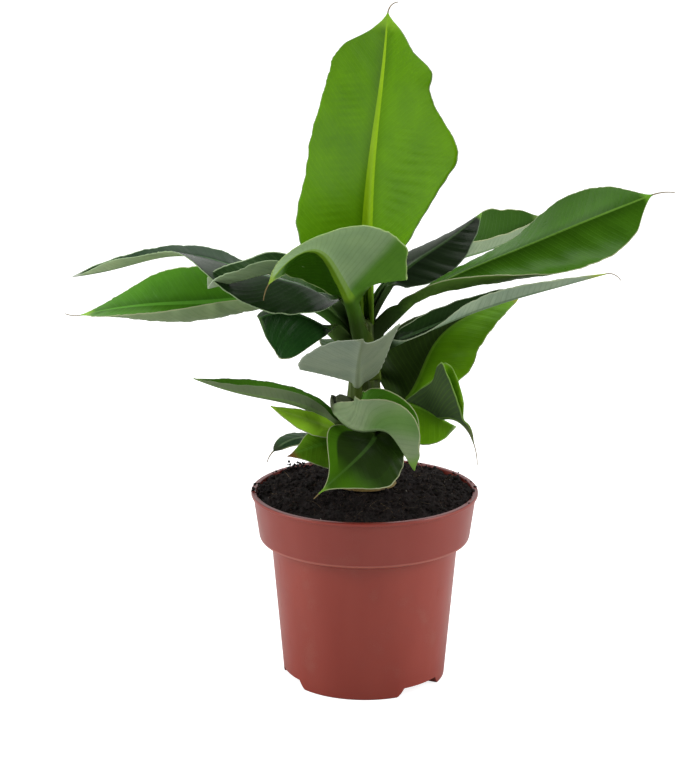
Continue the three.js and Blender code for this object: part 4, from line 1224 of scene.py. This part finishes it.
def crumb(name, seed, detail):
    """A lump of earth about 1 mm across, angular and a little flattened."""
    rng = np.random.default_rng(seed)
    mesh = bpy.data.meshes.new(name)
    shape = bmesh.new()
    bmesh.ops.create_icosphere(shape, subdivisions=detail, radius=0.5 * MM)
    dents = unit(rng.normal(size=(5, 3)))
    for vertex in shape.verts:
        way = np.array(vertex.co) / (0.5 * MM)
        size = 1 - 0.35 * sum(max(0.0, float(way @ d) - 0.6) for d in dents) / 0.4
        vertex.co *= max(size, 0.45) * (1 + 0.14 * rng.normal())
    bmesh.ops.scale(shape, vec=(1.0, 0.82, 0.7), verts=shape.verts)
    shape.to_mesh(mesh)
    shape.free()
    return add_object(name, mesh)


def strand(name, seed, length, radius, sides=3, steps=6, bend=1.1):
    """A fibre, hair or twig lying along X, bent at random."""
    rng = np.random.default_rng(seed)
    spot = np.array([-length / 2, 0, 0.0])
    way = np.array([1.0, 0, 0])
    points = []
    for row in range(steps + 1):
        share = row / steps
        side = unit(np.cross(way, [0, 0, 1.0]))
        over = np.cross(side, way)
        size = radius * (1 - 0.5 * share)
        for i in range(sides):
            a = 2 * math.pi * i / sides
            points.append(spot + size * (side * math.cos(a) + over * math.sin(a)))
        way = unit(way + rng.normal(size=3) * np.array([0.3, 1, 0.35]) * bend / steps)
        spot = spot + way * length / steps
    faces = [f[::-1] for f in loop_faces(steps + 1, sides)]
    first = tuple(range(sides))
    last = tuple(steps * sides + i for i in range(sides))
    return mesh_object(name, points, faces + [first, last[::-1]])


def make_scatter():
    """Geometry Nodes: drops pieces of a collection on the upward faces of a mesh."""
    tree = bpy.data.node_groups.new("Scatter On Top", "GeometryNodeTree")
    sockets = (
        ("Geometry", "Geometry", None), ("Pieces", "Collection", None),
        ("Per Square Metre", "Float", 1000.0), ("Smallest", "Float", 1.0), ("Largest", "Float", 2.0),
        ("Tilt", "Float", 3.14), ("Lift", "Float", 0.0), ("Within", "Float", 1.0), ("Seed", "Int", 1),
        ("Paint", "Material", None),
    )
    for label, kind, value in sockets:
        made = tree.interface.new_socket(label, in_out="INPUT", socket_type="NodeSocket" + kind)
        if value is not None:
            made.default_value = value
    tree.interface.new_socket("Geometry", in_out="OUTPUT", socket_type="NodeSocketGeometry")
    t = Tree(tree)
    given = tree.nodes.new("NodeGroupInput").outputs
    put = tree.nodes.new("NodeGroupOutput").inputs

    normal = t.add("GeometryNodeInputNormal").outputs[0]
    up = t.add("ShaderNodeSeparateXYZ", {0: normal}).outputs["Z"]
    facing = t.add("FunctionNodeCompare", {"A": up, "B": 0.3}, operation="GREATER_THAN").outputs[0]
    flat = t.vector("MULTIPLY", t.add("GeometryNodeInputPosition").outputs[0], (1, 1, 0))
    reach = t.add("ShaderNodeVectorMath", {0: flat}, operation="LENGTH").outputs["Value"]
    inside = t.add("FunctionNodeCompare", {"A": reach, "B": given["Within"]}, operation="LESS_THAN")
    facing = t.add("FunctionNodeBooleanMath", {0: facing, 1: inside.outputs[0]}, operation="AND").outputs[0]
    points = t.add("GeometryNodeDistributePointsOnFaces",
                   {"Mesh": given["Geometry"], "Selection": facing,
                    "Density": given["Per Square Metre"], "Seed": given["Seed"]}).outputs["Points"]
    lift = t.add("ShaderNodeCombineXYZ", {"Z": given["Lift"]}).outputs[0]
    points = t.add("GeometryNodeSetPosition", {"Geometry": points, "Offset": lift}).outputs[0]
    pieces = t.add("GeometryNodeCollectionInfo",
                   {"Collection": given["Pieces"], "Separate Children": True,
                    "Reset Children": True}).outputs[0]

    def random(kind, low, high, shift):
        node = t.add("FunctionNodeRandomValue", data_type=kind)
        for want, value in (("Min", low), ("Max", high)):
            t.put([s for s in node.inputs if s.name == want and s.enabled][0], value)
        t.put(node.inputs["Seed"], t.plus(given["Seed"], shift))
        return [s for s in node.outputs if s.enabled][0]

    tilt = t.add("ShaderNodeCombineXYZ", {"X": given["Tilt"], "Y": given["Tilt"], "Z": math.pi}).outputs[0]
    back = t.add("ShaderNodeVectorMath", {0: tilt, "Scale": -1.0}, operation="SCALE").outputs[0]
    turn = random("FLOAT_VECTOR", back, tilt, 11.0)
    size = random("FLOAT", given["Smallest"], given["Largest"], 23.0)
    placed = t.add("GeometryNodeInstanceOnPoints",
                   {"Points": points, "Instance": pieces, "Pick Instance": True,
                    "Rotation": turn, "Scale": size}).outputs[0]
    real = t.add("GeometryNodeRealizeInstances", {0: placed}).outputs[0]
    painted = t.add("GeometryNodeSetMaterial", {"Geometry": real, "Material": given["Paint"]}).outputs[0]
    t.put(put["Geometry"], painted)
    return tree


def scattered(name, ground, tree, pieces, paint, values):
    """A joined mesh of pieces scattered on the ground; the pieces themselves are removed."""
    holder = bpy.data.collections.new(name + "_pieces")
    bpy.context.scene.collection.children.link(holder)
    for piece in pieces:
        bpy.context.scene.collection.objects.unlink(piece)
        holder.objects.link(piece)
    result = add_object(name, ground.data.copy())
    modifier = result.modifiers.new("scatter", "NODES")
    modifier.node_group = tree
    given = {"Pieces": holder, "Paint": paint, **values}
    for item in tree.interface.items_tree:
        if item.in_out == "INPUT" and item.name in given:
            modifier[item.identifier] = given[item.name]
    settle(result)
    result.data.name = name
    for piece in pieces:
        bpy.data.objects.remove(piece)
    bpy.data.collections.remove(holder)
    return result


def joined(name, pieces, paint):
    """Several pieces as one mesh with one material, in a stated place each."""
    shape = bmesh.new()
    for piece, place in pieces:
        shape.from_mesh(piece.data)
        count = len(piece.data.vertices)
        shape.verts.ensure_lookup_table()
        bmesh.ops.transform(shape, matrix=place, verts=shape.verts[-count:])
        bpy.data.objects.remove(piece)
    mesh = bpy.data.meshes.new(name)
    shape.to_mesh(mesh)
    shape.free()
    mesh.materials.append(paint)
    return add_object(name, mesh)


def set_down(x, y, z, turn=0.0, tilt=0.0, size=1.0):
    """A place for a small piece: millimetres, degrees about Z, degrees from level, and scale."""
    return (Matrix.Translation(Vector((x, y, z)) * MM)
            @ Matrix.Rotation(math.radians(turn), 4, "Z")
            @ Matrix.Rotation(math.radians(-tilt), 4, "Y")
            @ Matrix.Scale(size, 4))


def add_soil():
    """The root ball's uneven top, with loose soil, fibres and twigs on it and crumbs on the rim."""
    earth = plain_earth("dark potting soil", (13, 10, 11), (38, 30, 28), 0.004)
    brown = plain_earth("brown bark crumbs", (30, 22, 19), (62, 46, 37), 0.003, 0.85)
    pale = plain_earth("pale fibres", (86, 70, 52), (134, 114, 86), 0.004, 0.8)
    grit = plain_earth("pale grit", (110, 104, 96), (168, 162, 152), 0.002, 0.8)
    ground = soil_mesh()
    tree = make_scatter()
    layers = [
        ("soil_crumbs", earth, [crumb(f"lump{i}", 40 + i, 2) for i in range(5)],
         95000.0, (1.0, 3.4), {"Seed": 3}),
        ("soil_fines", earth, [crumb(f"fine{i}", 60 + i, 1) for i in range(4)],
         420000.0, (0.4, 1.1), {"Seed": 4}),
        ("bark_crumbs", brown, [crumb(f"bark{i}", 80 + i, 1) for i in range(4)],
         26000.0, (0.6, 2.2), {"Seed": 5, "Lift": 0.0003}),
        ("soil_grit", grit, [crumb(f"grit{i}", 90 + i, 1) for i in range(3)],
         1800.0, (0.5, 1.2), {"Seed": 6, "Lift": 0.0005}),
        ("brown_fibres", brown, [strand(f"fibre{i}", 100 + i, 9 + 2 * i, 0.16) for i in range(4)],
         22000.0, (0.4, 0.9), {"Seed": 7, "Tilt": 0.3, "Lift": 0.0006, "Within": 0.050}),
        ("pale_fibres", pale, [strand(f"hair{i}", 120 + i, 8 + 2 * i, 0.09) for i in range(4)],
         9000.0, (0.4, 0.9), {"Seed": 8, "Tilt": 0.4, "Lift": 0.0007, "Within": 0.050}),
    ]
    for name, paint, pieces, density, (smallest, largest), values in layers:
        values |= {"Per Square Metre": density, "Smallest": smallest, "Largest": largest}
        loose_piece(scattered(name, ground, tree, pieces, paint, values))
    finish_piece(ground, "root_ball", earth)

    rng = np.random.default_rng(12)
    spill = []
    heaps = [(184, 5, 4.5)] * 30 + [(126, 10, 4.0)] * 44 + [(40, 60, 1.0)] * 30
    for i, (middle, spread_out, high) in enumerate(heaps):
        angle = rng.normal(middle, spread_out)
        x, y, _ = outward(angle) * (POT["rim"] - rng.uniform(0.6, 5.5))
        size = rng.uniform(0.9, 2.6)
        z = POT["height"] - 0.2 + abs(rng.normal(0, 0.4)) * high
        place = set_down(x, y, z, turn=rng.uniform(0, 360), size=size)
        spill.append((crumb(f"spill{i}", 200 + i, 1), place))
    loose_piece(joined("rim_crumbs", spill, earth))
    twigs = [
        (strand("twig0", 5, 24, 0.55, 6, 8, 0.5), set_down(22, -34, 99.4, 20, 3)),
        (strand("twig1", 6, 17, 0.4, 6, 8, 0.6), set_down(-25, -26, 99.6, -15, 4)),
        (strand("twig2", 7, 14, 0.35, 6, 8, 0.6), set_down(36, 6, 99.6, 70, 5)),
    ]
    loose_piece(joined("soil_twigs", twigs, brown))


# ---- Studio ------------------------------------------------------------------------------------

STUDIO = dict(front=0.0, back=0.85, top=0.4, side_power=12.0, top_power=11.0, floor_glow=0.85)
CAMERA = dict(spot=(-0.013, -1.050, 0.421), pitch=76.05, sensor=36, lens=97.4)   # metres, degrees, mm


def area_light(name, spot, aim, size, power):
    data = bpy.data.lights.new(name, "AREA")
    data.shape = "RECTANGLE"
    data.size, data.size_y = size
    data.energy = power
    light = add_object(name, data)
    light.location = spot
    light.rotation_euler = (Vector(aim) - Vector(spot)).to_track_quat("-Z", "Y").to_euler()


def add_studio():
    """A white sweep and soft light all round, dimmer from the viewer's side."""
    far = 10 / MM
    corners = [(-far, -far, 0), (far, -far, 0), (far, far, 0), (-far, far, 0)]
    floor = mesh_object("floor", corners, [(0, 1, 2, 3)])
    material, t, surface = new_material("white floor", **{"Roughness": 0.6, "Specular IOR Level": 0.1})
    surface["Base Color"].default_value = (0.5, 0.5, 0.5, 1)
    surface["Emission Color"].default_value = (1, 1, 1, 1)
    seen = t.add("ShaderNodeLightPath").outputs["Is Camera Ray"]
    t.put(surface["Emission Strength"], t.times(seen, STUDIO["floor_glow"]))
    floor.data.materials.append(material)

    world = bpy.data.worlds.new("soft studio")
    bpy.context.scene.world = world
    world.use_nodes = True
    world.node_tree.nodes.clear()
    t = Tree(world.node_tree)
    way = t.add("ShaderNodeSeparateXYZ", {0: t.add("ShaderNodeTexCoord").outputs["Generated"]}).outputs
    level = t.spread(way["Y"], -0.45, 0.5, STUDIO["front"], STUDIO["back"])
    level = t.plus(level, t.spread(way["Z"], 0.1, 1.0, 0.0, STUDIO["top"]))
    sky = t.add("ShaderNodeBackground", {"Color": (1, 1, 1, 1), "Strength": level})
    t.add("ShaderNodeOutputWorld", {"Surface": sky.outputs[0]})

    area_light("left light", (-1.15, -0.42, 0.6), (0, 0, 0.16), (0.6, 1.1), STUDIO["side_power"])
    area_light("right light", (1.15, -0.42, 0.6), (0, 0, 0.16), (0.6, 1.1), STUDIO["side_power"])
    area_light("top light", (-0.1, 0.25, 1.5), (0, 0, 0.2), (0.9, 0.9), STUDIO["top_power"])

    scene = bpy.context.scene
    scene.view_settings.view_transform = "Standard"
    scene.view_settings.look = "None"
    data = bpy.data.cameras.new("view")
    data.sensor_width = CAMERA["sensor"]
    data.lens = CAMERA["lens"]
    data.clip_start, data.clip_end = 0.05, 60
    camera = add_object("view", data)
    camera.location = CAMERA["spot"]
    camera.rotation_euler = (math.radians(CAMERA["pitch"]), 0, 0)
    scene.camera = camera


# ---- The plant ---------------------------------------------------------------------------------


def add_plant():
    """Every sub-part of the plant and its pot."""
    finish_piece(pot_mesh(), "pot", pot_material())
    finish_piece(stem_mesh(), "pseudostem", stem_material())
    for index, leaf in enumerate(LEAVES):
        piece = leaf_mesh(leaf, index + 1)
        finish_piece(piece, leaf["name"], leaf_material(leaf, index + 1))
    add_soil()


add_plant()
add_studio()
